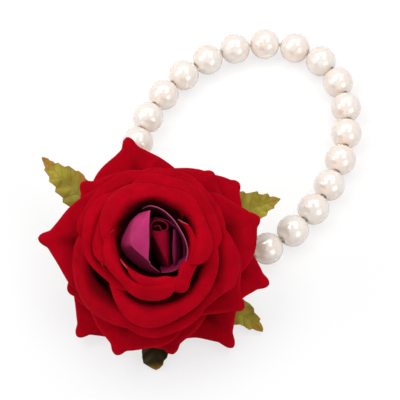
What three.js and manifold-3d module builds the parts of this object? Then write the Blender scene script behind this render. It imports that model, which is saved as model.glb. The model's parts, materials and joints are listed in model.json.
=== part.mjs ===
// Wrist corsage: a velvet rose with leaves on a felt disc, glued to a stretch row of faux pearls.
// It lies on a table as it is laid down after use. Millimetres, +Z up, origin under the middle of its box.
import * as THREE from 'three';
import Module from 'manifold-3d';
import { mergeVertices } from 'three/addons/utils/BufferGeometryUtils.js';

const wasm = await Module();
wasm.setup();
const degrees = Math.PI / 180;

// What touches on the real thing keeps this gap here
const touchGap = 0.3;

// Pearls and their cord
const pearlDiameter = 8;
const pearlCount = 23;
const pearlGap = 0.3;
const boreDiameter = 1.7;
const cordDiameter = 0.9;
const knotDiameter = 1.6;
const pearlSides = 10;
const pearlRings = 7;
const cordSides = 8;

// The loop lies as an egg: its long axis is turned from +X, and its far half is the wider one
const loopTurn = 152.9 * degrees;
const loopWidthShare = 1.388;
const loopEggShare = -0.055;
const knotPlaceShare = 0.2156;

// Near the rose the row is lifted off the table, because it is glued to the leaning felt
const liftHeight = 3.4;
const liftReach = 19;
const liftCentre = -5.5;

// Felt disc with hot glue under it, and the moulded peg that the rose is threaded on
const feltDiameter = 19;
const feltThickness = 1.2;
const feltSides = 20;
const gluedFeltShare = 0.52;
const glueLength = 14;
const glueWidth = 8.6;
const glueDepth = 2.6;
const glueBed = 0.9;
const flangeDiameter = 11;
const flangeThickness = 1;
const pegDiameter = 3.4;
const pegProud = 1.7;
const pegSides = 24;

// The rose leans towards the viewer until its near petals reach the table. Its foot is placed from the
// middle of the loop.
const roseRadius = 30;
const roseHeight = 25;
const roseLean = 25 * degrees;
const roseAcross = -21.1;
const roseToward = -33;

// Velvet: die-cut flowers of joined petals, threaded on the peg one over the other
const velvetThickness = 0.5;
const collarThickness = 0.8;
const collarDiameter = 10;
const petalLap = 0.42;

// A flower's wall rises from its collar: each row is a share of the way out to the wall and up to the crest
const spreadWallShares = [[0, 0], [0.2, 0.06], [0.6, 0.44], [1, 0.8]];
const cupWallShares = [[0, 0], [0.19, 0.02], [0.56, 0.27], [1, 0.56]];

// Wall is where the petals turn up, brim the ring of their crest, curl the radius that their lips roll over,
// and aside how far the ring stands off the peg's axis, all as shares of the rose's radius. Crest is a share
// of its height. A petal is centred at one angle and reaches its spread to either side, and lips say how far
// past the crest its edge lies from side to side, tip how far its point stands out and tuck how far it stands
// inside the others, as shares of the radius again.
const velvetLayerShares = [
  {
    name: 'velvet_layer_1',
    walls: spreadWallShares,
    wall: 0.567, brim: 0.633, curl: 1.33, crest: 0.132, aside: [0, 0],
    petals: [
      { at: 36, spread: 41, tip: 0.05, tuck: 0, lips: [-0.017, 0.05, 0.11, 0.15, 0.09, 0.017, -0.05] },
      { at: 105, spread: 43, tip: 0.12, tuck: 0, lips: [-0.067, -0.013, 0.087, 0.15, 0.12, 0.077, 0] },
      { at: 171, spread: 38, tip: 0.05, tuck: 0, lips: [0, 0.027, 0.067, 0.09, 0.08, 0.04, 0] },
      { at: 230, spread: 41, tip: 0.1, tuck: 0, lips: [0.017, 0.073, 0.153, 0.24, 0.193, 0.12, 0.033] },
      { at: 307, spread: 43, tip: 0.13, tuck: 0, lips: [0.083, 0.133, 0.177, 0.277, 0.2, 0.107, 0.017] },
    ],
  },
  {
    name: 'velvet_layer_2',
    walls: spreadWallShares,
    wall: 0.517, brim: 0.617, curl: 1.1, crest: 0.28, aside: [0, -0.033],
    petals: [
      { at: 342, spread: 39, tip: 0.09, tuck: 0, lips: [0.017, 0.127, 0.187, 0.247, 0.167, 0.083, 0] },
      { at: 52, spread: 44, tip: 0.05, tuck: 0, lips: [-0.05, 0, 0.05, 0.087, 0.06, 0.01, -0.05] },
      { at: 139, spread: 40, tip: 0.07, tuck: 0, lips: [-0.05, 0.02, 0.067, 0.087, 0.06, 0.02, -0.033] },
      { at: 207, spread: 38, tip: 0.04, tuck: 0, lips: [0.017, 0.073, 0.1, 0.11, 0.107, 0.073, 0.017] },
      { at: 280, spread: 40, tip: 0.08, tuck: 0, lips: [0.05, 0.12, 0.16, 0.163, 0.12, 0.067, 0] },
    ],
  },
  {
    name: 'velvet_layer_3',
    walls: spreadWallShares,
    wall: 0.5, brim: 0.633, curl: 0.93, crest: 0.432, aside: [0, -0.067],
    petals: [
      { at: 17, spread: 38, tip: 0.06, tuck: 0, lips: [0.033, 0.113, 0.163, 0.173, 0.1, 0.017, -0.067] },
      { at: 82, spread: 44, tip: 0, tuck: 0, lips: [-0.06, -0.017, 0.007, 0.007, 0.003, -0.02, -0.08] },
      { at: 174, spread: 46, tip: 0.11, tuck: 0, lips: [0.017, 0.073, 0.127, 0.177, 0.113, 0.053, -0.033] },
      { at: 250, spread: 42, tip: 0.08, tuck: 0, lips: [-0.033, 0.033, 0.107, 0.16, 0.133, 0.1, 0] },
      { at: 327, spread: 38, tip: 0.08, tuck: 0, lips: [-0.1, -0.033, 0.04, 0.127, 0.077, 0.05, 0] },
    ],
  },
  {
    name: 'velvet_layer_4',
    walls: cupWallShares,
    wall: 0.473, brim: 0.547, curl: 0.167, crest: 0.712, aside: [-0.017, -0.1],
    petals: [
      { at: 119, spread: 41, tip: 0, tuck: 0, lips: [-0.067, 0.033, 0.103, 0.1, 0.07, 0.057, -0.017] },
      { at: 45, spread: 46, tip: 0, tuck: 0, lips: [-0.05, 0.05, 0.073, 0.083, 0.13, 0.103, 0.017] },
      { at: 344, spread: 38, tip: 0.05, tuck: 0, lips: [0.017, 0.04, 0.083, 0.13, 0.12, 0.073, 0] },
      { at: 278, spread: 42, tip: 0, tuck: 0, lips: [-0.1, 0.023, 0.09, 0.113, 0.1, 0.067, 0] },
      { at: 208, spread: 46, tip: 0, tuck: 0, lips: [-0.067, 0.06, 0.073, 0.113, 0.093, 0.07, -0.05] },
    ],
  },
  {
    name: 'velvet_layer_5',
    walls: cupWallShares,
    wall: 0.393, brim: 0.467, curl: 0.15, crest: 0.852, aside: [-0.027, -0.083],
    petals: [
      { at: 156, spread: 42, tip: 0, tuck: 0, lips: [-0.05, 0.04, 0.083, 0.073, 0.06, 0.017, -0.05] },
      { at: 52, spread: 50, tip: 0, tuck: 0, lips: [0.017, 0.113, 0.127, 0.14, 0.127, 0.113, -0.033] },
      { at: 338, spread: 40, tip: 0, tuck: 0, lips: [0.033, 0.067, 0.087, 0.08, 0.047, 0.027, -0.033] },
      { at: 258, spread: 66, tip: 0, tuck: 0, lips: [-0.05, -0.017, 0.04, 0.117, 0.153, 0.09, 0.033] },
    ],
  },
  {
    name: 'velvet_layer_6',
    walls: cupWallShares,
    wall: 0.29, brim: 0.343, curl: 0.127, crest: 0.976, aside: [0.013, -0.03],
    petals: [
      { at: 180, spread: 44, tip: 0, tuck: -0.017, lips: [0.017, 0.107, 0.13, 0.13, 0.12, 0.08, 0] },
      { at: 118, spread: 62, tip: 0, tuck: 0, lips: [-0.05, 0.053, 0.123, 0.113, 0.087, 0.047, -0.05] },
      { at: 32, spread: 52, tip: 0, tuck: 0, lips: [0, 0.093, 0.08, 0.08, 0.08, 0.073, -0.017] },
      { at: 222, spread: 52, tip: 0, tuck: 0.014, lips: [-0.033, 0.047, 0.057, 0.057, 0.093, 0.103, 0.05] },
      { at: 300, spread: 62, tip: 0, tuck: 0.028, lips: [-0.017, 0.033, 0.07, 0.11, 0.09, 0.057, 0] },
    ],
  },
];
const tipWidthShare = 0.13;
const tipRoundShare = 0.03;
const footSpreadShare = 0.72;
const lipStops = 3;
// The shoulder brings the wall level with the crest, and rows of the mesh end there and at the edge
const shoulderShares = [0.45, 0.8];
const crestRowShare = 0.6;
const wallEndShare = 0.85;
const pointedAcrossShares = [-1, -0.66, -0.33, -0.1, 0, 0.1, 0.33, 0.66, 1];
const roundAcrossShares = [-1, -0.66, -0.33, 0, 0.33, 0.66, 1];
const velvetAlongShares = [0, 0.07, 0.3, crestRowShare, 0.8, 1];

// Satin bud: a foam core with two large petals wound round it and three smaller ones inside. It fills the
// cup of the last flower, so it follows the rose's sizes. Radii are shares of the bud's radius, and heights
// shares of its height above the peg. A slit closes the petal over the bud, up to a straight edge that far
// from the middle.
const budDiameterShare = 0.5;
const budHeightShare = 0.66;
const budDiameter = roseRadius * budDiameterShare;
const budHeight = roseHeight * budHeightShare;
const budAsideShares = [0.045, -0.05];
const coreDiameterShare = 0.455;
const coreHeightShare = 0.52;
const coreBellyShare = 0.8;
const coreSides = 16;
const satinThickness = 0.4;
const satinBellyShare = 1.02;
const bellyPlaceShare = 0.7;
const slitWidestShare = 0.93;
const closingPlaceShare = 0.6;
const closingRiseShare = 0.22;
const closingDropShare = 0.16;
const drawInShare = 0.08;
const cornerDropShare = 0.12;
const satinPetalShares = [
  {
    name: 'satin_petal_left', from: 98, to: 262,
    start: 0.87, end: 1, foot: 0.018, waist: 0.6, top: 1, slit: 0.156,
  },
  {
    name: 'satin_petal_right', from: -80, to: 112,
    start: 0.883, end: 1, foot: 0.018, waist: 0.6, top: 0.927, slit: 0,
  },
  {
    name: 'satin_petal_far', from: -62, to: 84,
    start: 0.792, end: 0.844, foot: 0.079, waist: 0.62, top: 0.879, slit: 0,
  },
  {
    name: 'satin_petal_near', from: -84, to: 62,
    start: 0.623, end: 0.688, foot: 0.309, waist: 0.85, top: 0.855, slit: 0,
  },
  {
    name: 'satin_petal_heart', from: -80, to: 74,
    start: 0.312, end: 0.39, foot: 0.43, waist: 0.9, top: 0.818, slit: 0,
  },
];
const satinAlongSteps = 7;
const satinAcrossSteps = 9;

// Leaves, cut with a saw-toothed edge and glued round the felt. Reach and root are shares of the rose's
// radius, wide a share of the leaf's width, and rise a share of the rose's height. A blunt leaf keeps that
// share of its width up to its rounded end.
const leafThickness = 0.4;
const leafWidth = 13;
const leafFold = 0.5;
const leafTeeth = 8;
const toothDepth = 0.8;
const leafRootShare = 0.22;
const leafPointShare = 0.067;
const leafBellyShare = 0.8;
const toothEdgeShare = 0.02;
const leafAcrossShares = [-1, -0.5, 0, 0.5, 1];
const leafPlaceShares = [
  { name: 'leaf_upper_left', at: 143, reach: 1.133, wide: 0.82, rise: -0.088, blunt: 0 },
  { name: 'leaf_upper_right', at: 20, reach: 1.067, wide: 1, rise: -0.088, blunt: 0 },
  { name: 'leaf_lower_right', at: 321, reach: 1.1, wide: 1, rise: -0.088, blunt: 0 },
  { name: 'leaf_bottom', at: 269, reach: 1, wide: 1, rise: 0.1, blunt: 0.5 },
];

function finish(color, roughness) {
  return new THREE.MeshStandardMaterial({ color, roughness, metalness: 0 });
}

const pearlLacquer = finish('#efe2d8', 0.22);
const clearElastic = finish('#f4efe8', 0.5);
const redFelt = finish('#7d1420', 0.95);
const hotGlue = finish('#e9dfc4', 0.3);
const greenPlastic = finish('#3f5a22', 0.5);
const redVelvet = finish('#9c0614', 0.9);
const budFoam = finish('#7a0c34', 0.7);
const plumSatin = finish('#96245e', 0.45);
const waxedLeaf = finish('#8f8430', 0.85);

function named(name, geometry, material) {
  const mesh = new THREE.Mesh(geometry, material.clone());
  mesh.name = name;
  return mesh;
}

// A closed mesh as a solid that can be joined and cut
function solidFrom(geometry) {
  const bare = geometry.clone();
  bare.deleteAttribute('normal');
  bare.deleteAttribute('uv');
  const merged = mergeVertices(bare, 1e-3);
  return new wasm.Manifold(new wasm.Mesh({
    numProp: 3,
    vertProperties: new Float32Array(merged.attributes.position.array),
    triVerts: new Uint32Array(merged.index.array),
  }));
}

function geometryFrom(solid) {
  const mesh = solid.getMesh();
  const geometry = new THREE.BufferGeometry();
  geometry.setAttribute('position', new THREE.BufferAttribute(mesh.vertProperties, 3));
  geometry.setIndex(new THREE.BufferAttribute(mesh.triVerts, 1));
  geometry.computeVertexNormals();
  return geometry;
}

function evenShares(steps) {
  return Array.from({ length: steps + 1 }, (_, index) => index / steps);
}

// 0 below 0, 1 above 1, and a smooth rise between
function smooth(share) {
  const held = Math.min(Math.max(share, 0), 1);
  return held * held * (3 - 2 * held);
}

// The value at a share of the way along a list of even stations, on one smooth curve
function alongStations(values, share) {
  const place = Math.min(Math.max(share, 0), 1) * (values.length - 1);
  const index = Math.min(Math.floor(place), values.length - 2);
  const part = place - index;
  const before = values[Math.max(index - 1, 0)];
  const start = values[index];
  const end = values[index + 1];
  const after = values[Math.min(index + 2, values.length - 1)];
  const leave = (end - before) / 2;
  const arrive = (after - start) / 2;
  const rise = smooth(part);
  const bend = part * (1 - part);
  return start + (end - start) * rise + bend * ((1 - part) * leave - part * arrive);
}

// A sheet of even thickness: its two faces lie half of it to either side of surface(across, along)
function sheetGeometry(surface, acrossList, alongList, thickness) {
  const columns = acrossList.length;
  const rows = alongList.length;
  const step = 1e-3;
  const places = [];
  for (const side of [1, -1]) {
    for (const along of alongList) {
      for (const across of acrossList) {
        const here = surface(across, along);
        const sideways = surface(across + step, along).sub(surface(across - step, along));
        const onward = surface(across, along + step).sub(surface(across, along - step));
        const normal = sideways.cross(onward).normalize();
        here.addScaledVector(normal, side * thickness / 2);
        places.push(here.x, here.y, here.z);
      }
    }
  }
  const faces = [];
  const at = (side, row, column) => (side * rows + row) * columns + column;
  for (let row = 0; row < rows - 1; row += 1) {
    for (let column = 0; column < columns - 1; column += 1) {
      for (const side of [0, 1]) {
        const a = at(side, row, column);
        const b = at(side, row, column + 1);
        const c = at(side, row + 1, column + 1);
        const d = at(side, row + 1, column);
        if (side === 0) faces.push(a, b, c, a, c, d);
        else faces.push(a, c, b, a, d, c);
      }
    }
  }
  const wall = (row0, column0, row1, column1) => {
    const a = at(0, row0, column0);
    const b = at(0, row1, column1);
    const c = at(1, row1, column1);
    const d = at(1, row0, column0);
    faces.push(a, d, c, a, c, b);
  };
  for (let column = 0; column < columns - 1; column += 1) {
    wall(0, column, 0, column + 1);
    wall(rows - 1, column + 1, rows - 1, column);
  }
  for (let row = 0; row < rows - 1; row += 1) {
    wall(row + 1, 0, row, 0);
    wall(row, columns - 1, row + 1, columns - 1);
  }
  const geometry = new THREE.BufferGeometry();
  geometry.setAttribute('position', new THREE.Float32BufferAttribute(places, 3));
  geometry.setIndex(faces);
  geometry.computeVertexNormals();
  return geometry;
}

// A closed ring turned round the rose's axis from radii and heights, such as a collar or the peg
function turned(outline, sides) {
  const points = outline.map(([radius, height]) => new THREE.Vector2(radius, height));
  return new THREE.LatheGeometry(points, sides).rotateX(Math.PI / 2);
}

// The loop is an egg whose length round is set by the pearls and the knot. The point at a distance along it
// from the knot is lifted near the rose.
function measureLoop() {
  const pitch = pearlDiameter + pearlGap;
  const knotRoom = knotDiameter + 2 * touchGap - pearlGap;
  const around = pearlCount * pitch + knotRoom;
  const samples = 3600;
  const unit = (turn) => new THREE.Vector2(
    Math.cos(turn),
    loopWidthShare * Math.sin(turn) * (1 + loopEggShare * Math.cos(turn)),
  );
  const flat = [unit(0)];
  const travelled = [0];
  for (let index = 1; index <= samples; index += 1) {
    flat.push(unit(2 * Math.PI * index / samples));
    travelled.push(travelled[index - 1] + flat[index].distanceTo(flat[index - 1]));
  }
  const size = around / travelled[samples];
  const point = (distance) => {
    const target = ((distance / around + knotPlaceShare) % 1 + 1) % 1 * travelled[samples];
    let low = 0;
    let high = samples;
    while (high - low > 1) {
      const middle = Math.floor((low + high) / 2);
      if (travelled[middle] > target) high = middle;
      else low = middle;
    }
    const share = (target - travelled[low]) / (travelled[high] - travelled[low]);
    const place = flat[low].clone().lerp(flat[high], share).multiplyScalar(size);
    place.rotateAround(new THREE.Vector2(), loopTurn);
    const fromKnot = distance - around * Math.round(distance / around);
    const away = Math.min(Math.abs((fromKnot - liftCentre) / liftReach), 1);
    const lift = liftHeight * Math.cos(away * Math.PI / 2) ** 2;
    return new THREE.Vector3(place.x, place.y, pearlDiameter / 2 + lift);
  };
  return { pitch, knotRoom, point };
}

// Pearls stand a pitch apart along the lifted row
function placePearls(loop) {
  const centres = [];
  const walkShare = 0.005;
  let distance = 0;
  let travelled = 0;
  let last = loop.point(0);
  let wanted = (loop.knotRoom + loop.pitch) / 2;
  while (centres.length < pearlCount) {
    distance += walkShare * loop.pitch;
    const next = loop.point(distance);
    const stride = next.distanceTo(last);
    if (travelled + stride >= wanted) {
      centres.push(last.clone().lerp(next, (wanted - travelled) / stride));
      wanted += loop.pitch;
    }
    travelled += stride;
    last = next;
  }
  return centres;
}

// Each pearl is threaded along the line between its two neighbours
function pearlAxes(centres) {
  return centres.map((centre, index) => {
    const before = centres[(index + centres.length - 1) % centres.length];
    const after = centres[(index + 1) % centres.length];
    return after.clone().sub(before).normalize();
  });
}

// A faux pearl: a ball with a straight bore
function makePearl() {
  const radius = pearlDiameter / 2;
  const mouth = Math.asin(boreDiameter / pearlDiameter);
  const outline = evenShares(pearlRings).map((share) => {
    const angle = mouth + (Math.PI - 2 * mouth) * share;
    return new THREE.Vector2(radius * Math.sin(angle), -radius * Math.cos(angle));
  });
  outline.push(outline[0].clone());
  return new THREE.LatheGeometry(outline, pearlSides);
}

// The cord turns half-way between two pearls, where the lines through their bores meet
function cordCorners(centres, axes) {
  return centres.map((centre, index) => {
    const next = (index + 1) % centres.length;
    const halfTurn = Math.sqrt((1 + axes[index].dot(axes[next])) / 2);
    const stretch = centre.distanceTo(centres[next]) / 2 / halfTurn;
    const leaving = centre.clone().addScaledVector(axes[index], stretch);
    const entering = centres[next].clone().addScaledVector(axes[next], -stretch);
    return leaving.lerp(entering, 1 / 2);
  });
}

// Elastic cord: straight through each bore, turning between the pearls, closed by a knot under the rose
function makeCord(centres, axes) {
  const corners = cordCorners(centres, axes);
  const places = [];
  const faces = [];
  corners.forEach((corner, index) => {
    const along = axes[index].clone().add(axes[(index + 1) % axes.length]).normalize();
    const sideways = new THREE.Vector3(0, 0, 1).cross(along).normalize();
    const upward = along.clone().cross(sideways);
    for (let side = 0; side < cordSides; side += 1) {
      const angle = 2 * Math.PI * side / cordSides;
      const rim = corner.clone()
        .addScaledVector(sideways, cordDiameter / 2 * Math.cos(angle))
        .addScaledVector(upward, cordDiameter / 2 * Math.sin(angle));
      places.push(rim.x, rim.y, rim.z);
      const a = index * cordSides + side;
      const b = index * cordSides + (side + 1) % cordSides;
      const ahead = ((index + 1) % corners.length) * cordSides;
      const c = ahead + (side + 1) % cordSides;
      const d = ahead + side;
      faces.push(a, b, c, a, c, d);
    }
  });
  const ring = new THREE.BufferGeometry();
  ring.setAttribute('position', new THREE.Float32BufferAttribute(places, 3));
  ring.setIndex(faces);
  const knotCorner = corners[corners.length - 1];
  const knot = new THREE.IcosahedronGeometry(knotDiameter / 2, 1);
  knot.translate(knotCorner.x, knotCorner.y, knotCorner.z);
  return geometryFrom(solidFrom(ring).add(solidFrom(knot)));
}

// Hot glue between the felt and the pearls beside the knot: a low pad, hollowed where the pearls lie in it
function makeGlue(centres, knotPlace) {
  const pad = new THREE.Shape();
  pad.absellipse(0, 0, glueLength / 2, glueWidth / 2, 0, 2 * Math.PI);
  const top = -feltThickness - touchGap;
  const slab = new THREE.ExtrudeGeometry(pad, { depth: glueDepth, bevelEnabled: false, curveSegments: 8 });
  const row = centres[0].clone().sub(centres[centres.length - 1]);
  slab.rotateZ(Math.atan2(row.y, row.x)).translate(knotPlace.x, knotPlace.y, top - glueDepth);
  let glue = solidFrom(slab);
  const hollow = new THREE.SphereGeometry(pearlDiameter / 2 + touchGap, 2 * pearlSides, 2 * pearlRings);
  for (const centre of centres) {
    glue = glue.subtract(solidFrom(hollow.clone().translate(centre.x, centre.y, centre.z)));
  }
  return geometryFrom(glue);
}

// The middle of a flower's collar above the felt, counted from the lowest flower
function collarHeight(index) {
  const first = touchGap + flangeThickness + touchGap + collarThickness / 2;
  return first + index * (collarThickness + touchGap);
}

// A velvet petal. Its profile runs out and up from the collar to the crest, and then rolls over.
// Its edge lies a lip's length past the crest, with a rounded point in the middle.
function petalSurface(layer, petal, base) {
  const foot = collarDiameter / 2 - 2 * velvetThickness;
  const tuck = roseRadius * petal.tuck;
  const wall = roseRadius * layer.wall - tuck;
  const brim = roseRadius * layer.brim - tuck;
  const curl = roseRadius * layer.curl;
  const crest = roseHeight * layer.crest;
  const [asideX, asideY] = layer.aside;
  const stops = layer.walls.map(([out, up]) => new THREE.Vector2(
    foot + (wall - foot) * out,
    base + (crest - base) * up,
  ));
  const [shoulderOut, shoulderUp] = shoulderShares;
  const last = stops[stops.length - 1];
  stops.push(new THREE.Vector2(
    last.x + (brim - last.x) * shoulderOut,
    last.y + (crest - last.y) * shoulderUp,
  ));
  const crestStop = stops.length;
  const longestLip = roseRadius * (Math.max(...petal.lips) + petal.tip);
  for (const share of evenShares(lipStops)) {
    const roll = longestLip * share / curl;
    stops.push(new THREE.Vector2(brim + curl * Math.sin(roll), crest - curl * (1 - Math.cos(roll))));
  }
  const profile = new THREE.SplineCurve(stops);
  const perStop = 20;
  profile.arcLengthDivisions = perStop * (stops.length - 1);
  const lengths = profile.getLengths();
  const toCrest = lengths[perStop * crestStop];
  const whole = lengths[lengths.length - 1];
  return (across, along) => {
    const fromMiddle = Math.hypot(across, tipRoundShare) - tipRoundShare;
    const point = petal.tip * Math.exp(-fromMiddle / tipWidthShare);
    const edge = toCrest + roseRadius * (alongStations(petal.lips, (across + 1) / 2) + point);
    const wallEnd = Math.min(toCrest, edge * wallEndShare);
    const beyond = Math.max((along - crestRowShare) / (1 - crestRowShare), 0);
    const travelled = wallEnd * Math.min(along / crestRowShare, 1) + (edge - wallEnd) * beyond;
    const reached = Math.min(Math.max(travelled / whole, 0), 1);
    const place = profile.getPointAt(reached);
    const heading = profile.getTangentAt(reached);
    const lap = petalLap * across * smooth(along * 3);
    const radius = place.x - heading.y * lap;
    const height = place.y + heading.x * lap;
    const opening = footSpreadShare + (1 - footSpreadShare) * smooth(along * 2);
    const angle = (petal.at + across * petal.spread * opening) * degrees;
    const shifted = roseRadius * smooth(along / crestRowShare);
    return new THREE.Vector3(
      radius * Math.cos(angle) + asideX * shifted,
      radius * Math.sin(angle) + asideY * shifted,
      height,
    );
  };
}

function makeVelvetLayer(layer, index) {
  const base = collarHeight(index);
  const bottom = base - collarThickness / 2;
  const top = base + collarThickness / 2;
  const hole = pegDiameter / 2 + touchGap;
  const rim = collarDiameter / 2;
  const collar = turned([[hole, bottom], [rim, bottom], [rim, top], [hole, top], [hole, bottom]], pegSides);
  const pointed = layer.walls === spreadWallShares;
  const acrossList = pointed ? pointedAcrossShares : roundAcrossShares;
  let whole = solidFrom(collar);
  for (const petal of layer.petals) {
    const surface = petalSurface(layer, petal, base);
    whole = whole.add(solidFrom(sheetGeometry(surface, acrossList, velvetAlongShares, velvetThickness)));
  }
  // Where two laps pinch off a pocket between them, it is left solid
  const [outer] = whole.decompose().sort((a, b) => b.volume() - a.volume());
  return geometryFrom(outer);
}

// A satin petal wound round the bud. It swells from its waist to its belly and draws in again at the top,
// and one with a slit closes over the bud instead.
function satinSurface(petal, coreBottom) {
  const budRadius = budDiameter / 2;
  const foot = coreBottom + budHeight * petal.foot;
  const rise = budHeight * (petal.top - petal.foot);
  return (across, along) => {
    const angle = (petal.from + (petal.to - petal.from) * across) * degrees;
    const wide = budRadius * (petal.start + (petal.end - petal.start) * across);
    const belly = Math.sin(Math.min(along / bellyPlaceShare, 1) * Math.PI / 2);
    let radius = wide * (petal.waist + (satinBellyShare - petal.waist) * belly);
    let height = foot + rise * along;
    if (petal.slit > 0) {
      const widest = wide * slitWidestShare;
      const straight = budRadius * petal.slit / Math.max(Math.abs(Math.cos(angle)), 1e-3);
      const reach = Math.min(straight, widest);
      const closing = smooth((along - closingPlaceShare) / (1 - closingPlaceShare));
      radius += (reach - radius) * closing;
      height += rise * closingRiseShare * (smooth(along) - along);
      height -= rise * closingDropShare * closing * (reach / wide) ** 2;
    } else {
      radius -= wide * drawInShare * smooth(along * 2 - 1);
      height -= rise * cornerDropShare * Math.abs(2 * across - 1) ** 4 * along;
    }
    const shifted = budRadius * smooth(along);
    return new THREE.Vector3(
      radius * Math.cos(angle) + budAsideShares[0] * shifted,
      radius * Math.sin(angle) + budAsideShares[1] * shifted,
      height,
    );
  };
}

// A leaf folded along its middle rib, with saw teeth along both edges
function leafSurface(leaf) {
  const middle = leaf.at * degrees;
  const root = roseRadius * leafRootShare;
  const length = roseRadius * leaf.reach - root;
  const half = leafWidth / 2 * leaf.wide;
  const least = half * leafPointShare;
  return (across, along) => {
    const held = Math.min(Math.max(along, 0), 1);
    const tooth = (1 - ((along * leafTeeth) % 1 + 1) % 1) * toothDepth;
    const pointed = Math.sin(Math.PI * held ** leafBellyShare) ** leafBellyShare;
    const blunt = leaf.blunt * Math.sqrt(1 - held) * smooth(along * 3);
    const taper = Math.max(pointed, blunt);
    const aside = across * Math.max((half - tooth) * taper, least);
    const out = root + length * along;
    const fold = leafFold * Math.abs(across) * taper * smooth(along * 3);
    return new THREE.Vector3(
      out * Math.cos(middle) - aside * Math.sin(middle),
      out * Math.sin(middle) + aside * Math.cos(middle),
      touchGap + leafThickness / 2 + fold + roseHeight * leaf.rise * along ** 3,
    );
  };
}

const loop = measureLoop();
const centres = placePearls(loop);
const axes = pearlAxes(centres);

// The felt lies over the highest of the pearls under it, with a bed of glue between
const roseAxis = new THREE.Vector3(0, -Math.sin(roseLean), Math.cos(roseLean));
const roseSeat = new THREE.Vector3(roseAcross, roseToward, 0);
const underFelt = centres.map((centre) => {
  const aside = centre.clone().sub(roseSeat);
  const height = aside.dot(roseAxis);
  const away = aside.addScaledVector(roseAxis, -height).length();
  return away < (feltDiameter + pearlDiameter) / 2 ? height : 0;
});
const feltTop = Math.max(...underFelt) + pearlDiameter / 2 + glueBed + feltThickness;
roseSeat.z = feltTop / Math.cos(roseLean);

const corsage = new THREE.Group();
const bracelet = new THREE.Group();
const rose = new THREE.Group();
rose.position.copy(roseSeat);
rose.rotation.x = roseLean;
corsage.add(bracelet, rose);

centres.forEach((centre, index) => {
  const number = String(index + 1).padStart(2, '0');
  const pearl = named(`pearl_${number}`, makePearl(), pearlLacquer);
  pearl.position.copy(centre);
  pearl.quaternion.setFromUnitVectors(new THREE.Vector3(0, 1, 0), axes[index]);
  bracelet.add(pearl);
});
bracelet.add(named('elastic_cord', makeCord(centres, axes), clearElastic));

// The felt's underside is glued in the middle, and its outer band stays bare
const felt = turned([
  [0, -feltThickness],
  [feltDiameter / 2 * gluedFeltShare, -feltThickness],
  [feltDiameter / 2, -feltThickness],
  [feltDiameter / 2, 0],
  [0, 0],
], feltSides);
rose.add(named('felt_backing', felt, redFelt));

const toRose = (place) => place.clone().sub(roseSeat).applyAxisAngle(new THREE.Vector3(1, 0, 0), -roseLean);
const knotPlace = toRose(centres[0].clone().lerp(centres[centres.length - 1], 1 / 2));
rose.add(named('glue_pad', makeGlue(centres.map(toRose), knotPlace), hotGlue));

const lastCollar = collarHeight(velvetLayerShares.length - 1);
const pegTop = lastCollar + collarThickness / 2 + pegProud;
const peg = turned([
  [0, touchGap],
  [flangeDiameter / 2, touchGap],
  [flangeDiameter / 2, touchGap + flangeThickness],
  [pegDiameter / 2, touchGap + flangeThickness],
  [pegDiameter / 2, pegTop],
  [0, pegTop],
], pegSides);
rose.add(named('rose_peg', peg, greenPlastic));

velvetLayerShares.forEach((layer, index) => {
  rose.add(named(layer.name, makeVelvetLayer(layer, index), redVelvet));
});

const coreBottom = pegTop + touchGap;
const coreOutline = evenShares(coreSides / 2).map((share) => {
  const radius = budDiameter / 2 * coreDiameterShare * Math.sin(Math.PI * share ** coreBellyShare);
  return [share > 0 && share < 1 ? radius : 0, coreBottom + budHeight * coreHeightShare * share];
});
rose.add(named('bud_core', turned(coreOutline, coreSides), budFoam));

for (const petal of satinPetalShares) {
  const surface = satinSurface(petal, coreBottom);
  const acrossList = evenShares(satinAcrossSteps);
  const sheet = sheetGeometry(surface, acrossList, evenShares(satinAlongSteps), satinThickness);
  rose.add(named(petal.name, sheet, plumSatin));
}

const leafAlongShares = [];
for (let tooth = 0; tooth < leafTeeth; tooth += 1) {
  leafAlongShares.push((tooth + toothEdgeShare) / leafTeeth, (tooth + 1 - toothEdgeShare) / leafTeeth);
}
for (const leaf of leafPlaceShares) {
  const sheet = sheetGeometry(leafSurface(leaf), leafAcrossShares, leafAlongShares, leafThickness);
  rose.add(named(leaf.name, sheet, waxedLeaf));
}

// The origin is moved under the middle of the whole box, on the table
corsage.updateMatrixWorld(true);
const box = new THREE.Box3().setFromObject(corsage, true);
const middle = box.getCenter(new THREE.Vector3());
corsage.position.set(-middle.x, -middle.y, -box.min.z);
corsage.updateMatrixWorld(true);

export default corsage;
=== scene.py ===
# Wrist corsage: a velvet rose with a satin bud and leaves, on a stretch row of faux pearls.
# Metres, in the same frame as the solids. The sections follow the corsage as it is put together.
import json

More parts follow.
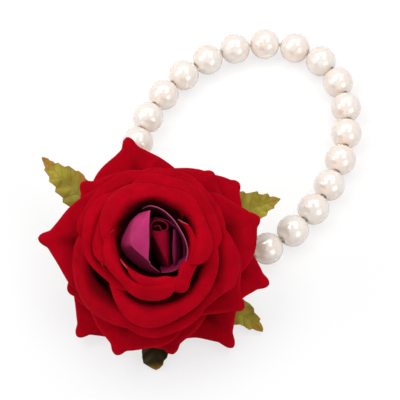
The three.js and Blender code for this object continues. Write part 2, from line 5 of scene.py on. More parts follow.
import bpy
import numpy as np
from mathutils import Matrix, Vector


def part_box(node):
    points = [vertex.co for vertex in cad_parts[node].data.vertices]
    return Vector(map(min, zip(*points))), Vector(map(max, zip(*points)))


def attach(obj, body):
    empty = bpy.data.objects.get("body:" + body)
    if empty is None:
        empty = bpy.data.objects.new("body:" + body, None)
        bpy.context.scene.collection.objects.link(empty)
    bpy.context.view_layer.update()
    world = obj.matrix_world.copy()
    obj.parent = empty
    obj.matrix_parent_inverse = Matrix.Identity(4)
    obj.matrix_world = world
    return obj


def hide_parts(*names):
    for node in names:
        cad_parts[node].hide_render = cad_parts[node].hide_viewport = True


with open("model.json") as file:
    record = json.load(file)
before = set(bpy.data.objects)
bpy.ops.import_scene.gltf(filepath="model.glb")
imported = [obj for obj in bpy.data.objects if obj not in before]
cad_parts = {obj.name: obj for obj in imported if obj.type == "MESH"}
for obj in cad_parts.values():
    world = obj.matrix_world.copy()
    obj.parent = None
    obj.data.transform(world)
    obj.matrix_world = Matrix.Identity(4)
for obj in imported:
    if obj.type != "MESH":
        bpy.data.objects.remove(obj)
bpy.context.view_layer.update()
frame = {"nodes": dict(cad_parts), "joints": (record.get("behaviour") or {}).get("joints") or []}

# The rose's stance
# The rose leans on its felt disc towards the viewer. The disc is the first thing glued up, and everything on
# the rose is laid out from the middle of its top face, with z along the rose's own axis.
lean = np.radians(25.0)
felt_thick = 0.0012
rose_axis = np.array([0.0, -np.sin(lean), np.cos(lean)])
rose_seat = np.mean(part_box("felt_backing"), axis=0) + rose_axis * felt_thick / 2
rose_turn = np.array([[1.0, 0.0, 0.0],
                      [0.0, np.cos(lean), -np.sin(lean)],
                      [0.0, np.sin(lean), np.cos(lean)]])


def on_rose(places):
    """Turns places in the rose's own frame by its lean about X, and moves them to its seat."""
    return places @ rose_turn.T + rose_seat


# The camera
# It looks down at 59.4 degrees along +Y from 330 mm, at the height of the pearls' middles. This was found
# from the pearls' sizes and spacing in the photograph, whose width and focal length are in pixels.
camera_tilt = np.radians(59.4)
camera_far = 0.330
aim_right, aim_back, aim_up = 0.010744, 0.016696, 0.004
photo_wide, photo_focal = 400.0, 1304.0
camera_aim = np.array([rose_seat[0] + aim_right, rose_seat[1] + aim_back, aim_up])
looking = np.array([0.0, np.cos(camera_tilt), -np.sin(camera_tilt)])
camera_data = bpy.data.cameras.new("camera")
camera_data.sensor_width = 36.0
camera_data.lens = camera_data.sensor_width * photo_focal / photo_wide
camera = bpy.data.objects.new("camera", camera_data)
camera.location = camera_aim - looking * camera_far
camera.rotation_euler = (np.pi / 2 - camera_tilt, 0.0, 0.0)
bpy.context.scene.collection.objects.link(camera)
bpy.context.scene.camera = camera

# The table and the light
# A white sweep under three soft lamps overhead, with one more from the left and one from the front right. To
# the camera the sweep glows a little, so that it comes out white, and reflections see a white room.
bpy.context.scene.view_settings.view_transform = "Standard"
sweep_half = 2.0
sweep_tone = 0.93
sweep_glow_level, sweep_glow_share = 1.05, 0.66
# The room's light on the pieces, of the full white that is seen
room_level = 0.26


def paint(name, values):
    """A node material with the values on its shader's sockets. Returns it, its shader and its tree."""
    material = bpy.data.materials.new(name)
    material.use_nodes = True
    tree = material.node_tree
    shader = tree.nodes["Principled BSDF"]
    for socket, value in values.items():
        shader.inputs[socket].default_value = value
    return material, shader, tree


def wire(tree, kind, inputs=None, **settings):
    """Adds a node of a kind, sets its properties, and fills its inputs from values or from other sockets."""
    node = tree.nodes.new(kind)
    for key, value in settings.items():
        setattr(node, key, value)
    for key, value in (inputs or {}).items():
        if isinstance(value, bpy.types.NodeSocket):
            tree.links.new(value, node.inputs[key])
        else:
            node.inputs[key].default_value = value
    return node


def add_mesh(name, points, faces, material):
    """Puts points (n, 3) and faces (lists of corners) in a smooth mesh whose object stays at the origin."""
    mesh = bpy.data.meshes.new(name)
    mesh.from_pydata(np.asarray(points).tolist(), [], np.asarray(faces).tolist())
    mesh.polygons.foreach_set("use_smooth", [True] * len(mesh.polygons))
    mesh.materials.append(material)
    piece = bpy.data.objects.new(name, mesh)
    bpy.context.scene.collection.objects.link(piece)
    return piece


sweep_paint, sweep_shader, sweep_tree = paint("sweep_white", {
    "Base Color": (sweep_tone, sweep_tone, sweep_tone, 1), "Roughness": 1.0})
sweep_rays = wire(sweep_tree, "ShaderNodeLightPath")
sweep_glow = wire(sweep_tree, "ShaderNodeEmission", {"Color": (1, 1, 1, 1), "Strength": sweep_glow_level})
sweep_share = wire(sweep_tree, "ShaderNodeMath",
                   {0: sweep_rays.outputs["Is Camera Ray"], 1: sweep_glow_share}, operation="MULTIPLY")
sweep_seen = wire(sweep_tree, "ShaderNodeMixShader",
                  {0: sweep_share.outputs[0], 1: sweep_shader.outputs[0], 2: sweep_glow.outputs[0]})
sweep_tree.links.new(sweep_seen.outputs[0], sweep_tree.nodes["Material Output"].inputs["Surface"])
sweep_corners = [(-sweep_half, -sweep_half, 0), (sweep_half, -sweep_half, 0),
                 (sweep_half, sweep_half, 0), (-sweep_half, sweep_half, 0)]
sweep = add_mesh("sweep", sweep_corners, [(0, 1, 2, 3)], sweep_paint)

room = bpy.data.worlds.new("studio")
bpy.context.scene.world = room
room.use_nodes = True
room_walls = room.node_tree.nodes["Background"]
room_walls.inputs["Color"].default_value = (1, 1, 1, 1)
room_rays = wire(room.node_tree, "ShaderNodeLightPath")
room_seen = wire(room.node_tree, "ShaderNodeMath",
                 {0: room_rays.outputs["Is Camera Ray"], 1: room_rays.outputs["Is Glossy Ray"]},
                 operation="ADD", use_clamp=True)
room_strength = wire(room.node_tree, "ShaderNodeMath",
                     {0: room_seen.outputs[0], 1: 1 - room_level, 2: room_level}, operation="MULTIPLY_ADD")
room.node_tree.links.new(room_strength.outputs[0], room_walls.inputs["Strength"])


def softbox(name, place, width, height, power):
    """A rectangular area lamp of so many watts that faces the origin."""
    lamp = bpy.data.lights.new(name, "AREA")
    lamp.shape = "RECTANGLE"
    lamp.size = width
    lamp.size_y = height
    lamp.energy = power
    stand = bpy.data.objects.new(name, lamp)
    stand.location = place
    heading = -np.array(place) / np.linalg.norm(place)
    stand.rotation_euler = (np.arccos(-heading[2]), 0.0, np.arctan2(-heading[0], heading[1]))
    bpy.context.scene.collection.objects.link(stand)


softbox("lamp_above", (-0.03, 0.26, 0.60), 0.86, 0.30, 2.0)
softbox("lamp_above_left", (-0.30, -0.02, 0.60), 0.30, 0.26, 0.75)
softbox("lamp_above_right", (0.24, -0.02, 0.60), 0.30, 0.26, 0.60)
softbox("lamp_left", (-0.55, -0.10, 0.35), 0.30, 0.30, 0.8)
softbox("lamp_front", (0.44, -0.50, 0.30), 0.40, 0.40, 1.05)

# The row of pearls
# Moulded plastic balls of 8 mm with a pearl lacquer, each drilled through for the cord. All but the two
# beside the knot turn freely.
pearl_radius = 0.004
bore_radius = 0.00085
bore_lip = 0.0003
pearl_rows, pearl_columns = 34, 48


def clouds(tree, scale, detail=2.0, roughness=0.5, distortion=0.0):
    """A noise on the piece's own Object coordinates, as a socket that runs from 0 to 1."""
    place = wire(tree, "ShaderNodeTexCoord")
    noise = wire(tree, "ShaderNodeTexNoise", {"Vector": place.outputs["Object"], "Scale": scale,
                                              "Detail": detail, "Roughness": roughness,
                                              "Distortion": distortion})
    return noise.outputs["Fac"]


def two_tones(tree, share, *tones):
    """A colour socket between two tones by a share. Each tone is its place on the ramp and its colour."""
    ramp = wire(tree, "ShaderNodeValToRGB", {"Fac": share})
    for stop, (place, colour) in zip(ramp.color_ramp.elements, tones):
        stop.position = place
        stop.color = colour + (1,)
    return ramp.outputs["Color"]


def roughen(tree, shader, relief, strength, distance):
    """Tips the shader's normals by a relief, a socket whose range from 0 to 1 stands for the distance."""
    bump = wire(tree, "ShaderNodeBump", {"Height": relief, "Strength": strength, "Distance": distance})
    tree.links.new(bump.outputs["Normal"], shader.inputs["Normal"])


pearl_paint, pearl_shader, pearl_tree = paint("pearl_lacquer", {
    "Roughness": 0.22, "Specular IOR Level": 0.8, "Coat Weight": 1.0, "Coat IOR": 1.9, "Coat Roughness": 0.05,
    "Subsurface Weight": 0.15, "Subsurface Radius": (0.0012, 0.0009, 0.0007)})
pearl_tint = two_tones(pearl_tree, clouds(pearl_tree, 130.0, detail=3.0),
                       (0.35, (0.97, 0.81, 0.71)), (0.65, (0.98, 0.90, 0.82)))
pearl_tree.links.new(pearl_tint, pearl_shader.inputs["Base Color"])
roughen(pearl_tree, pearl_shader, clouds(pearl_tree, 900.0), 0.05, 0.0001)


def ring_faces(rows, columns):
    """Quads of a grid whose last column joins its first, and whose last row joins its first."""
    row, column = np.meshgrid(np.arange(rows), np.arange(columns), indexing="ij")
    after, beside = (row + 1) % rows, (column + 1) % columns
    corners = [row * columns + column, row * columns + beside,
               after * columns + beside, after * columns + column]
    return np.stack(corners, -1).reshape(-1, 4)


def full_turn(count):
    """Evenly spaced angles round a full turn."""
    return np.arange(count) * 2 * np.pi / count


def pearl_points(middle, axis):
    """A drilled ball about its bore. Over the ball the radius runs as sin(t) and the height as cos(t), and
    the way back rounds the bore's lip and goes straight down the bore."""
    mouth = np.arcsin((bore_radius + bore_lip) / pearl_radius)
    end = pearl_radius * np.cos(mouth)
    # Half of the way back, from the lip to near the middle: how far out from the bore, and the height
    lip_stops = np.array([(bore_lip * 0.4, end + bore_lip * 0.02),
                          (0.0, end - bore_lip * 0.5),
                          (0.0, end * 0.4)])
    way_back = np.concatenate([lip_stops * (1, -1), lip_stops[::-1]])
    ball = np.linspace(mouth, np.pi - mouth, pearl_rows - len(way_back))
    out = np.concatenate([pearl_radius * np.sin(ball), bore_radius + way_back[:, 0]])
    up = np.concatenate([pearl_radius * np.cos(ball), way_back[:, 1]])
    turn = full_turn(pearl_columns)
    side = np.cross(axis, [0.0, 0.0, 1.0])
    side = side / np.linalg.norm(side)
    third = np.cross(axis, side)
    around = np.cos(turn)[None, :, None] * side + np.sin(turn)[None, :, None] * third
    return (middle + out[:, None, None] * around + up[:, None, None] * axis).reshape(-1, 3)


pearl_joints = {joint["child"]: joint for joint in frame["joints"]}
pearl_names = sorted(name for name in frame["nodes"] if name.startswith("pearl_"))
pearl_middles = np.array([pearl_joints[name]["pos_m"] if name in pearl_joints
                          else np.mean(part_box(name), axis=0) for name in pearl_names])
for index, name in enumerate(pearl_names):
    if name in pearl_joints:
        axis = np.array(pearl_joints[name]["axis"])
    else:
        neighbour = pearl_middles[1] if index == 0 else pearl_middles[index - 1]
        axis = neighbour - pearl_middles[index]
        axis = axis / np.linalg.norm(axis)
    pearl = add_mesh(name + "_ball", pearl_points(pearl_middles[index], axis),
                     ring_faces(pearl_rows, pearl_columns), pearl_paint)
    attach(pearl, name if name in pearl_joints else "root")
    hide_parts(name)

# The elastic cord
# Clear elastic of 0.9 mm that runs through every bore and is closed by one knot under the felt, between the
# first and the last pearl. The knot is pulled tight, and its cord is thin.
cord_radius = 0.00045
knot_cord_radius = 0.0003
knot_size = 0.00028
cord_steps, cord_columns = 12, 14
knot_steps, knot_columns = 120, 10
cord_paint, cord_shader, cord_tree = paint("clear_elastic", {
    "Base Color": (0.86, 0.84, 0.80, 1), "Roughness": 0.35, "Transmission Weight": 0.35, "IOR": 1.45})
roughen(cord_tree, cord_shader, clouds(cord_tree, 2600.0), 0.15, 0.0001)


def curve_between(part, start, leaving, end, arriving):
    """The cubic from start to end at a part of the way, with the given headings at both ends (Hermite)."""
    return ((2 * part**3 - 3 * part**2 + 1) * start + (part**3 - 2 * part**2 + part) * leaving
            + (-2 * part**3 + 3 * part**2) * end + (part**3 - part**2) * arriving)


def smooth_loop(stops, per_stop):
    """A closed Catmull-Rom curve through the stops, with per_stop points for each."""
    before, after, later = np.roll(stops, 1, 0), np.roll(stops, -1, 0), np.roll(stops, -2, 0)
    part = (np.arange(per_stop) / per_stop)[None, :, None]
    leaving, arriving = (after - before)[:, None] / 2, (later - stops)[:, None] / 2
    return curve_between(part, stops[:, None], leaving, after[:, None], arriving).reshape(-1, 3)


def closed_tube(name, path, radius, columns):
    """Cord round a closed path: at each point a circle across the path's heading, turned from +Z."""
    heading = np.roll(path, -1, 0) - np.roll(path, 1, 0)
    heading /= np.linalg.norm(heading, axis=1)[:, None]
    side = np.cross(heading, [0.0, 0.0, 1.0])
    side /= np.linalg.norm(side, axis=1)[:, None]
    third = np.cross(heading, side)
    turn = full_turn(columns)
    ring = np.cos(turn)[None, :, None] * side[:, None] + np.sin(turn)[None, :, None] * third[:, None]
    points = (path[:, None] + radius * ring).reshape(-1, 3)
    return add_mesh(name, points, ring_faces(len(path), columns), cord_paint)


cord = closed_tube("elastic_loop", smooth_loop(pearl_middles, cord_steps), cord_radius, cord_columns)
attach(cord, "root")
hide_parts("elastic_cord")

# A trefoil: (sin t + 2 sin 2t, cos t - 2 cos 2t, -sin 3t), halfway between the two bedded pearls
knot_turn = full_turn(knot_steps)
knot_middle = (pearl_middles[0] + pearl_middles[-1]) / 2
knot_path = knot_middle + knot_size * np.stack([np.sin(knot_turn) + 2 * np.sin(2 * knot_turn),
                                                np.cos(knot_turn) - 2 * np.cos(2 * knot_turn),
                                                -np.sin(3 * knot_turn)], -1)
knot = closed_tube("elastic_knot", knot_path, knot_cord_radius, knot_columns)
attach(knot, "root")

# The felt and the glue
# A die-cut disc of pressed red felt carries the rose, and is rounded a little at its cut edge. Under it a
# pad of hot glue beds the two pearls beside the knot.
felt_radius = 0.0095
felt_rounding = 0.0004
felt_ring_radius = 0.005
pole_radius = 0.00001
felt_columns = 96
felt_paint, felt_shader, felt_tree = paint("red_felt", {
    "Roughness": 1.0, "Specular IOR Level": 0.1, "Sheen Weight": 0.4, "Sheen Roughness": 0.6,
    "Sheen Tint": (1.0, 0.5, 0.5, 1)})
felt_fibre = clouds(felt_tree, 1500.0, detail=6.0, roughness=0.7, distortion=1.2)
felt_tint = two_tones(felt_tree, felt_fibre, (0.3, (0.13, 0.006, 0.012)), (0.7, (0.27, 0.018, 0.030)))
felt_tree.links.new(felt_tint, felt_shader.inputs["Base Color"])
roughen(felt_tree, felt_shader, felt_fibre, 0.6, 0.0003)


def turned_points(outline, columns):
    """An outline of (radius, height) pairs turned about the rose's axis."""
    turn = full_turn(columns)
    out, up = np.array(outline)[:, 0, None], np.array(outline)[:, 1, None]
    points = np.stack([out * np.cos(turn), out * np.sin(turn), up + 0 * turn], -1)
    return points.reshape(-1, 3)


felt_round = np.linspace(-np.pi / 2, np.pi / 2, 9)
felt_rim = np.stack([felt_radius - felt_rounding + felt_rounding * np.cos(felt_round),
                     -felt_thick / 2 + felt_thick / 2 * np.sin(felt_round)], -1)
felt_outline = np.concatenate([[(pole_radius, -felt_thick), (felt_ring_radius, -felt_thick)], felt_rim,
                               [(felt_ring_radius, 0.0), (pole_radius, 0.0)]])
felt_disc = add_mesh("felt_disc", on_rose(turned_points(felt_outline, felt_columns)),
                     ring_faces(len(felt_outline), felt_columns), felt_paint)
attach(felt_disc, "root")
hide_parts("felt_backing")

# The glue's solid, flowed together by a remesh and smoothed
glue_grain_size = 0.0003
glue_paint, glue_shader, glue_tree = paint("hot_glue", {
    "Base Color": (0.80, 0.74, 0.58, 1), "Roughness": 0.28, "Subsurface Weight": 0.5,
    "Subsurface Radius": (0.002, 0.0018, 0.0012)})
roughen(glue_tree, glue_shader, clouds(glue_tree, 420.0), 0.4, 0.0006)
glue_blob = frame["nodes"]["glue_pad"].copy()
glue_blob.data = frame["nodes"]["glue_pad"].data.copy()
glue_blob.name = "glue_blob"
glue_blob.parent = None
bpy.context.scene.collection.objects.link(glue_blob)
glue_blob.data.materials.clear()
glue_blob.data.materials.append(glue_paint)
glue_remesh = glue_blob.modifiers.new("flow", "REMESH")
glue_remesh.mode = "VOXEL"
glue_remesh.voxel_size = glue_grain_size
glue_remesh.use_smooth_shade = True
glue_soften = glue_blob.modifiers.new("soften", "SMOOTH")
glue_soften.factor = 0.5
glue_soften.iterations = 6
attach(glue_blob, "root")
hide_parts("glue_pad")

# The peg
# A moulded green plastic peg with a flange, which the velvet flowers are threaded on. It keeps its solid's
# shape, and only takes the plastic's paint.
peg_paint, peg_shader, peg_tree = paint("green_plastic", {
    "Base Color": (0.05, 0.10, 0.018, 1), "Roughness": 0.42})
roughen(peg_tree, peg_shader, clouds(peg_tree, 1800.0), 0.1, 0.0001)
frame["nodes"]["rose_peg"].data.materials.clear()
frame["nodes"]["rose_peg"].data.materials.append(peg_paint)

# The leaves
# Four leaves of waxed cotton, die-cut with a saw-toothed edge, pressed with veins, touched with brown at
# the tips, and glued round the felt under the flowers.
mm = 0.001
leaf_thick = 0.00032
leaf_rows, leaf_columns = 150, 41
leaf_paint, leaf_shader, leaf_tree = paint("waxed_leaf", {
    "Roughness": 0.55, "Specular IOR Level": 0.22, "Sheen Weight": 0.05})
# The veins and the browning are the leaves' own colours; the near-black last tone is painted shade where the
# rose shades a leaf
leaf_dyes_and_shade = {"vein": (0.200, 0.160, 0.014),
             "browned": (0.420, 0.150, 0.012),
             "leaf_painted_shade": (0.022, 0.014, 0.002)}


def dyed_and_shaded(tree, label, colour, dye_and_shade):
    """A colour socket turned to a second colour by the piece's attribute of that label, which runs from 0 to
    1.
    The second colour is a real dye for a leaf's veins and browning, and painted shade for the leaves'
    shaded parts, the velvet and the satin.
    """
    share = wire(tree, "ShaderNodeAttribute", attribute_name=label)
    # The sockets of a mix of colours, among those for other kinds of value
    factor, first, second, result = 0, 6, 7, 2
    mix = wire(tree, "ShaderNodeMix", {factor: share.outputs["Fac"], first: colour, second: dye_and_shade + (1,)},
               data_type="RGBA")
    return mix.outputs[result]


leaf_colour = two_tones(leaf_tree, clouds(leaf_tree, 260.0, detail=4.0, roughness=0.6),
                        (0.34, (0.260, 0.205, 0.010)), (0.66, (0.440, 0.380, 0.040)))
for label, dye_and_shade in leaf_dyes_and_shade.items():
    leaf_colour = dyed_and_shaded(leaf_tree, label, leaf_colour, dye_and_shade)
leaf_tree.links.new(leaf_colour, leaf_shader.inputs["Base Color"])
roughen(leaf_tree, leaf_shader, clouds(leaf_tree, 3200.0), 0.18, 0.0002)

# How dark a leaf's painted shade is from its root on, where along it the painted shade starts to fade, and
# over what share
little_painted_shade, some_painted_shade, full_painted_shade = (0.25, 0.3, 0.3), (0.45, 0.3, 0.3), (0.97, 0.86, 0.14)
# How brown each leaf is, its painted shade, and both its edges from root to tip, in millimetres in the rose's
# frame
leaves = {
    "leaf_upper_left": (0.9, little_painted_shade,
        [(-10.6, 9.5, 0.5), (-13.5, 13.2, 0.3), (-17.0, 15.9, 0.0), (-17.5, 16.8, -0.1),
         (-18.7, 17.9, -0.3), (-19.4, 17.8, -0.3), (-21.2, 19.2, -0.6), (-22.2, 18.9, -0.7),
         (-23.9, 20.0, -1.1), (-24.8, 19.8, -1.2), (-25.2, 20.4, -1.3), (-26.1, 20.6, -1.5),
         (-26.3, 21.0, -1.6), (-27.2, 21.4, -1.7), (-27.8, 21.4, -1.7)],
        [(-13.4, 5.4, 0.5), (-17.1, 7.3, 0.3), (-21.0, 9.2, 0.1), (-22.5, 10.2, -0.1),
         (-22.5, 11.3, -0.1), (-24.4, 12.8, -0.4), (-24.3, 14.0, -0.5), (-26.0, 15.4, -0.9),
         (-25.9, 16.5, -1.0), (-27.3, 18.3, -1.4), (-27.0, 18.9, -1.4), (-27.3, 19.5, -1.6),
         (-27.8, 20.7, -1.7), (-27.9, 21.3, -1.7)]),
    "leaf_upper_right": (0.45, little_painted_shade,
        [(12.0, 11.7, 0.4), (16.8, 12.7, 0.2), (19.5, 12.7, -0.1), (21.4, 12.9, -0.3), (21.8, 12.4, -0.3),
         (22.9, 12.5, -0.4), (24.6, 13.0, -0.7), (24.9, 12.3, -0.7), (26.1, 12.2, -0.9),
         (27.2, 12.5, -1.2), (27.6, 11.7, -1.2), (28.8, 11.7, -1.5), (30.3, 11.3, -1.7)],
        [(14.4, -0.2, 0.5), (19.2, 2.0, 0.3), (23.3, 4.5, -0.1), (25.7, 6.4, -0.5), (26.9, 7.0, -0.8),
         (27.2, 7.8, -0.9), (27.0, 8.0, -0.8), (28.8, 8.9, -1.2), (28.9, 9.6, -1.3), (29.4, 10.0, -1.5),
         (30.3, 11.1, -1.7)]),
    "leaf_lower_right": (0.6, some_painted_shade,
        [(11.9, -9.1, 0.4), (16.8, -11.0, 0.2), (20.4, -12.5, -0.1), (21.8, -13.8, -0.3),
         (22.8, -14.4, -0.5), (23.7, -15.3, -0.7), (23.8, -16.0, -0.8), (23.6, -16.2, -0.8),
         (24.5, -17.0, -1.0), (25.3, -17.9, -1.2), (25.0, -18.4, -1.2), (25.6, -19.4, -1.5),
         (26.0, -20.2, -1.7), (25.9, -20.9, -1.7)],
        [(8.3, -13.4, 0.4), (13.1, -17.0, 0.1), (16.8, -18.7, -0.2), (19.1, -19.4, -0.5),
         (20.4, -19.3, -0.7), (21.3, -19.7, -0.8), (22.1, -20.2, -1.0), (22.6, -20.6, -1.1),
         (23.4, -20.3, -1.2), (24.5, -20.8, -1.5), (25.8, -21.0, -1.7)]),
    "leaf_bottom": (0.35, full_painted_shade,
        [(3.0, -11.0, 0.5), (3.5, -17.0, 0.7), (3.6, -23.0, 1.3), (3.3, -25.6, 1.8), (2.9, -27.1, 2.2),
         (2.1, -27.9, 2.4), (2.0, -28.8, 2.6), (1.2, -29.6, 2.9), (0.4, -29.95, 3.0)],
        [(-2.2, -11.0, 0.5), (-3.2, -17.0, 0.7), (-3.2, -23.0, 1.4), (-3.1, -25.1, 1.7),
         (-3.0, -27.0, 2.2), (-2.7, -28.4, 2.5), (-1.1, -29.4, 2.8), (0.3, -29.95, 3.0)]),
}
# The pressing of a leaf: its side veins, how far they lean to the tip and where the dark line lies beside
# each, counted in veins. Then, in millimetres, how far the cloth puckers, folds down to the rib, stands up
# on it and waves, and how high the whole leaf stands over its edges' line.
leaf_veins, vein_lean, vein_line_at, vein_line_width = 7.5, 0.9, -0.22, 0.07
pucker_height, fold_depth, rib_height, leaf_wave_height, leaf_lift = 0.17, 0.55, 0.12, 0.25, 0.35
leaf_waves_along, leaf_waves_across = 9, 2.2
rib_width_share, flat_tip_share, pucker_sharpness = 0.05, 0.2, 0.6
vein_dark, rib_dark = 0.75, 0.45
# Where a leaf browns: from where along it its tip does, over what share, and in what streaks. How brown the
# rim is, and how brown a patch is, with its place along and across the leaf and its size.
brown_tip_from, brown_tip_over = 0.72, 0.22
least_streak, streaks_across, streaks_along = 0.75, 5, 20
rim_brown, rim_sharpness, patch_brown = 0.45, 8, 0.8
patch_along, patch_across = 0.45, -0.8
patch_long, patch_wide = 0.06, 0.3


def ease(share, start=0.0, width=1.0):
    """0 up to the start, 1 past the width from there, and 3s^2 - 2s^3 at a share s of the width."""
    held = np.clip((share - start) / width, 0, 1)
    return held * held * (3 - 2 * held)


def fade(distance, width, power=2):
    """1 in the middle, and exp(-(distance / width)^power) away from it."""
    return np.exp(-(distance / width) ** power)


def down(rows):
    """Shares from 0 to 1 down the rows of a sheet."""
    return np.linspace(0, 1, rows)[:, None]


def side_to_side(columns, start=0.0):
    """Shares from the start to 1 along the columns of a sheet."""
    return np.linspace(start, 1, columns)[None, :]


def lengths_along(line):
    """How long a broken line is up to each of its points."""
    return np.concatenate([[0], np.cumsum(np.linalg.norm(np.diff(line, axis=0), axis=1))])


def by_length(stops, share):
    """Places on a broken line at a share of its length."""
    stops = np.array(stops, float)
    length = lengths_along(stops)
    return np.stack([np.interp(share * length[-1], length, stops[:, k]) for k in range(3)], -1)


def sheet_faces(rows, columns):
    """Quads of an open grid, wound so that they face up and in."""
    row, column = np.meshgrid(np.arange(rows - 1), np.arange(columns - 1), indexing="ij")
    first = row * columns + column
    return np.stack([first, first + columns, first + columns + 1, first + 1], -1).reshape(-1, 4)


def leaf_grid(left, right, along, across):
    """A leaf in millimetres between its two toothed edges, and how far each of its points is a vein. A row
    runs straight from edge to edge and sinks by fold_depth (1 - |across|) to its rib. The side veins pucker
    it by the sine of a phase that leans to the tip, and near the tip it all flattens."""
    one, other = by_length(left, along[:, 0]), by_length(right, along[:, 0])
    share = ((1 - across) / 2)[..., None]
    places = one[:, None] * share + other[:, None] * (1 - share)
    phase = along * leaf_veins - np.abs(across) * vein_lean
    taper = np.clip((1 - along) / flat_tip_share, 0, 1)
    rib = fade(across, rib_width_share)
    pucker = pucker_height * np.sin(2 * np.pi * phase) * np.abs(across) ** pucker_sharpness * taper * (1 - rib)
    fold = rib_height * rib - fold_depth * (1 - np.abs(across)) * taper
    wave = leaf_wave_height * np.sin(along * leaf_waves_along + across * leaf_waves_across) * taper
    places[..., 2] += pucker + fold + wave + leaf_lift
    line = fade(phase - np.round(phase) - vein_line_at, vein_line_width) * (1 - rib) * taper
    return places, np.clip(vein_dark * line + rib_dark * rib, 0, 1)


def leaf_browned(browning, along, across):
    """How brown a leaf is: over its tip in streaks, along its rim, and in one patch near the left edge."""
    streaks = least_streak + (1 - least_streak) * np.sin(across * streaks_across + along * streaks_along)
    tip = ease(along, brown_tip_from, brown_tip_over) * streaks
    rim = rim_brown * np.abs(across) ** rim_sharpness
    patch = patch_brown * fade(along - patch_along, patch_long) * fade(across - patch_across, patch_wide)
    return np.clip(browning * (tip + rim + patch), 0, 1)


def store(piece, label, values):
    """Keeps one value for each point of a piece as an attribute, for its paint to read."""
    kept = piece.data.attributes.new(label, "FLOAT", "POINT")
    kept.data.foreach_set("value", np.ravel(values).astype(float))


def thicken(piece, thickness):
    """Gives a sheet its cloth's thickness, half to either side. Its last paint goes on the cut edge."""
    wall = piece.modifiers.new("cloth", "SOLIDIFY")
    wall.thickness = thickness
    wall.offset = 0
    wall.material_offset_rim = len(piece.data.materials) - 1


leaf_along, leaf_across = down(leaf_rows), side_to_side(leaf_columns, -1)
for name, (browning, (painted_shade_level, painted_shade_end, painted_shade_fading), left, right) in leaves.items():
    grid, vein = leaf_grid(left, right, leaf_along, leaf_across)
    leaf = add_mesh(name + "_cloth", on_rose(grid.reshape(-1, 3) * mm), sheet_faces(leaf_rows, leaf_columns),
                    leaf_paint)
    # Painted shade, strongest from the root on under the rose, and fading towards the tip
    leaf_painted_shade = painted_shade_level * (1 - ease(leaf_along, painted_shade_end, painted_shade_fading))
    store(leaf, "vein", vein)
    store(leaf, "browned", leaf_browned(browning, leaf_along, leaf_across))
    store(leaf, "leaf_painted_shade", np.broadcast_to(leaf_painted_shade, vein.shape))
    thicken(leaf, leaf_thick)
    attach(leaf, "root")
    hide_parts(name)

# The velvet flowers
# Six die-cut flowers of flocked velvet, each of four or five joined petals, heat-moulded and threaded on the
# peg one over the other. The outer three spread flat, with pinched tips; the inner three stand as a cup.
velvet_thick = 0.00040
petal_rows, petal_columns = 73, 97
nap_share = 0.45
velvet_paint, velvet_shader, velvet_tree = paint("red_velvet", {
    "Roughness": 0.9, "Specular IOR Level": 0.04, "Sheen Weight": 0.10, "Sheen Roughness": 0.35,
    "Sheen Tint": (1.0, 0.04, 0.12, 1)})
# The pile's relief: its fine nap, and the broad strokes that it is brushed in
velvet_nap = clouds(velvet_tree, 3800.0, detail=3.0, roughness=0.6)
velvet_nap_part = wire(velvet_tree, "ShaderNodeMath", {0: velvet_nap, 1: nap_share}, operation="MULTIPLY")
velvet_strokes = clouds(velvet_tree, 210.0, detail=3.0, roughness=0.55, distortion=0.6)
velvet_pile = wire(velvet_tree, "ShaderNodeMath",
                   {0: velvet_strokes, 1: 1 - nap_share, 2: velvet_nap_part.outputs[0]},
                   operation="MULTIPLY_ADD")
velvet_tint = two_tones(velvet_tree, velvet_pile.outputs[0],
                        (0.36, (0.36, 0.0003, 0.0070)), (0.64, (0.52, 0.0005, 0.0110)))
# Painted shade: by the attribute "foot" the red turns to a near-black red where a petal lies deep under the
# ones above
velvet_tree.links.new(dyed_and_shaded(velvet_tree, "foot", velvet_tint, (0.10, 0.0002, 0.0025)),
                      velvet_shader.inputs["Base Color"])
roughen(velvet_tree, velvet_shader, velvet_pile.outputs[0], 0.22, 0.0002)

# Where the cloth is cut, its edge is painted a lighter red, which shows as a thin lighter line
velvet_edge = paint("velvet_cut_edge", {
    "Base Color": (0.62, 0.020, 0.045, 1), "Roughness": 0.9, "Sheen Weight": 0.5,
    "Sheen Tint": (1.0, 0.35, 0.40, 1)})[0]

# In millimetres: all petals leave the peg at one radius, each flower's a step higher.
foot_radius = 4.0
foot_first, foot_step = 2.0, 1.1
# The two ways that a flower stands: its wall's stops as shares of the way out and up, the radius that the
# margin rolls under by, and the depth over which painted shade darkens the cloth
spreading = ([(0, 0), (0.2, 0.06), (0.6, 0.44), (1, 0.8)], 0.90, 7.0)
cupped = ([(0, 0), (0.19, 0.02), (0.56, 0.27), (1, 0.56)], 0.55, 3.0)
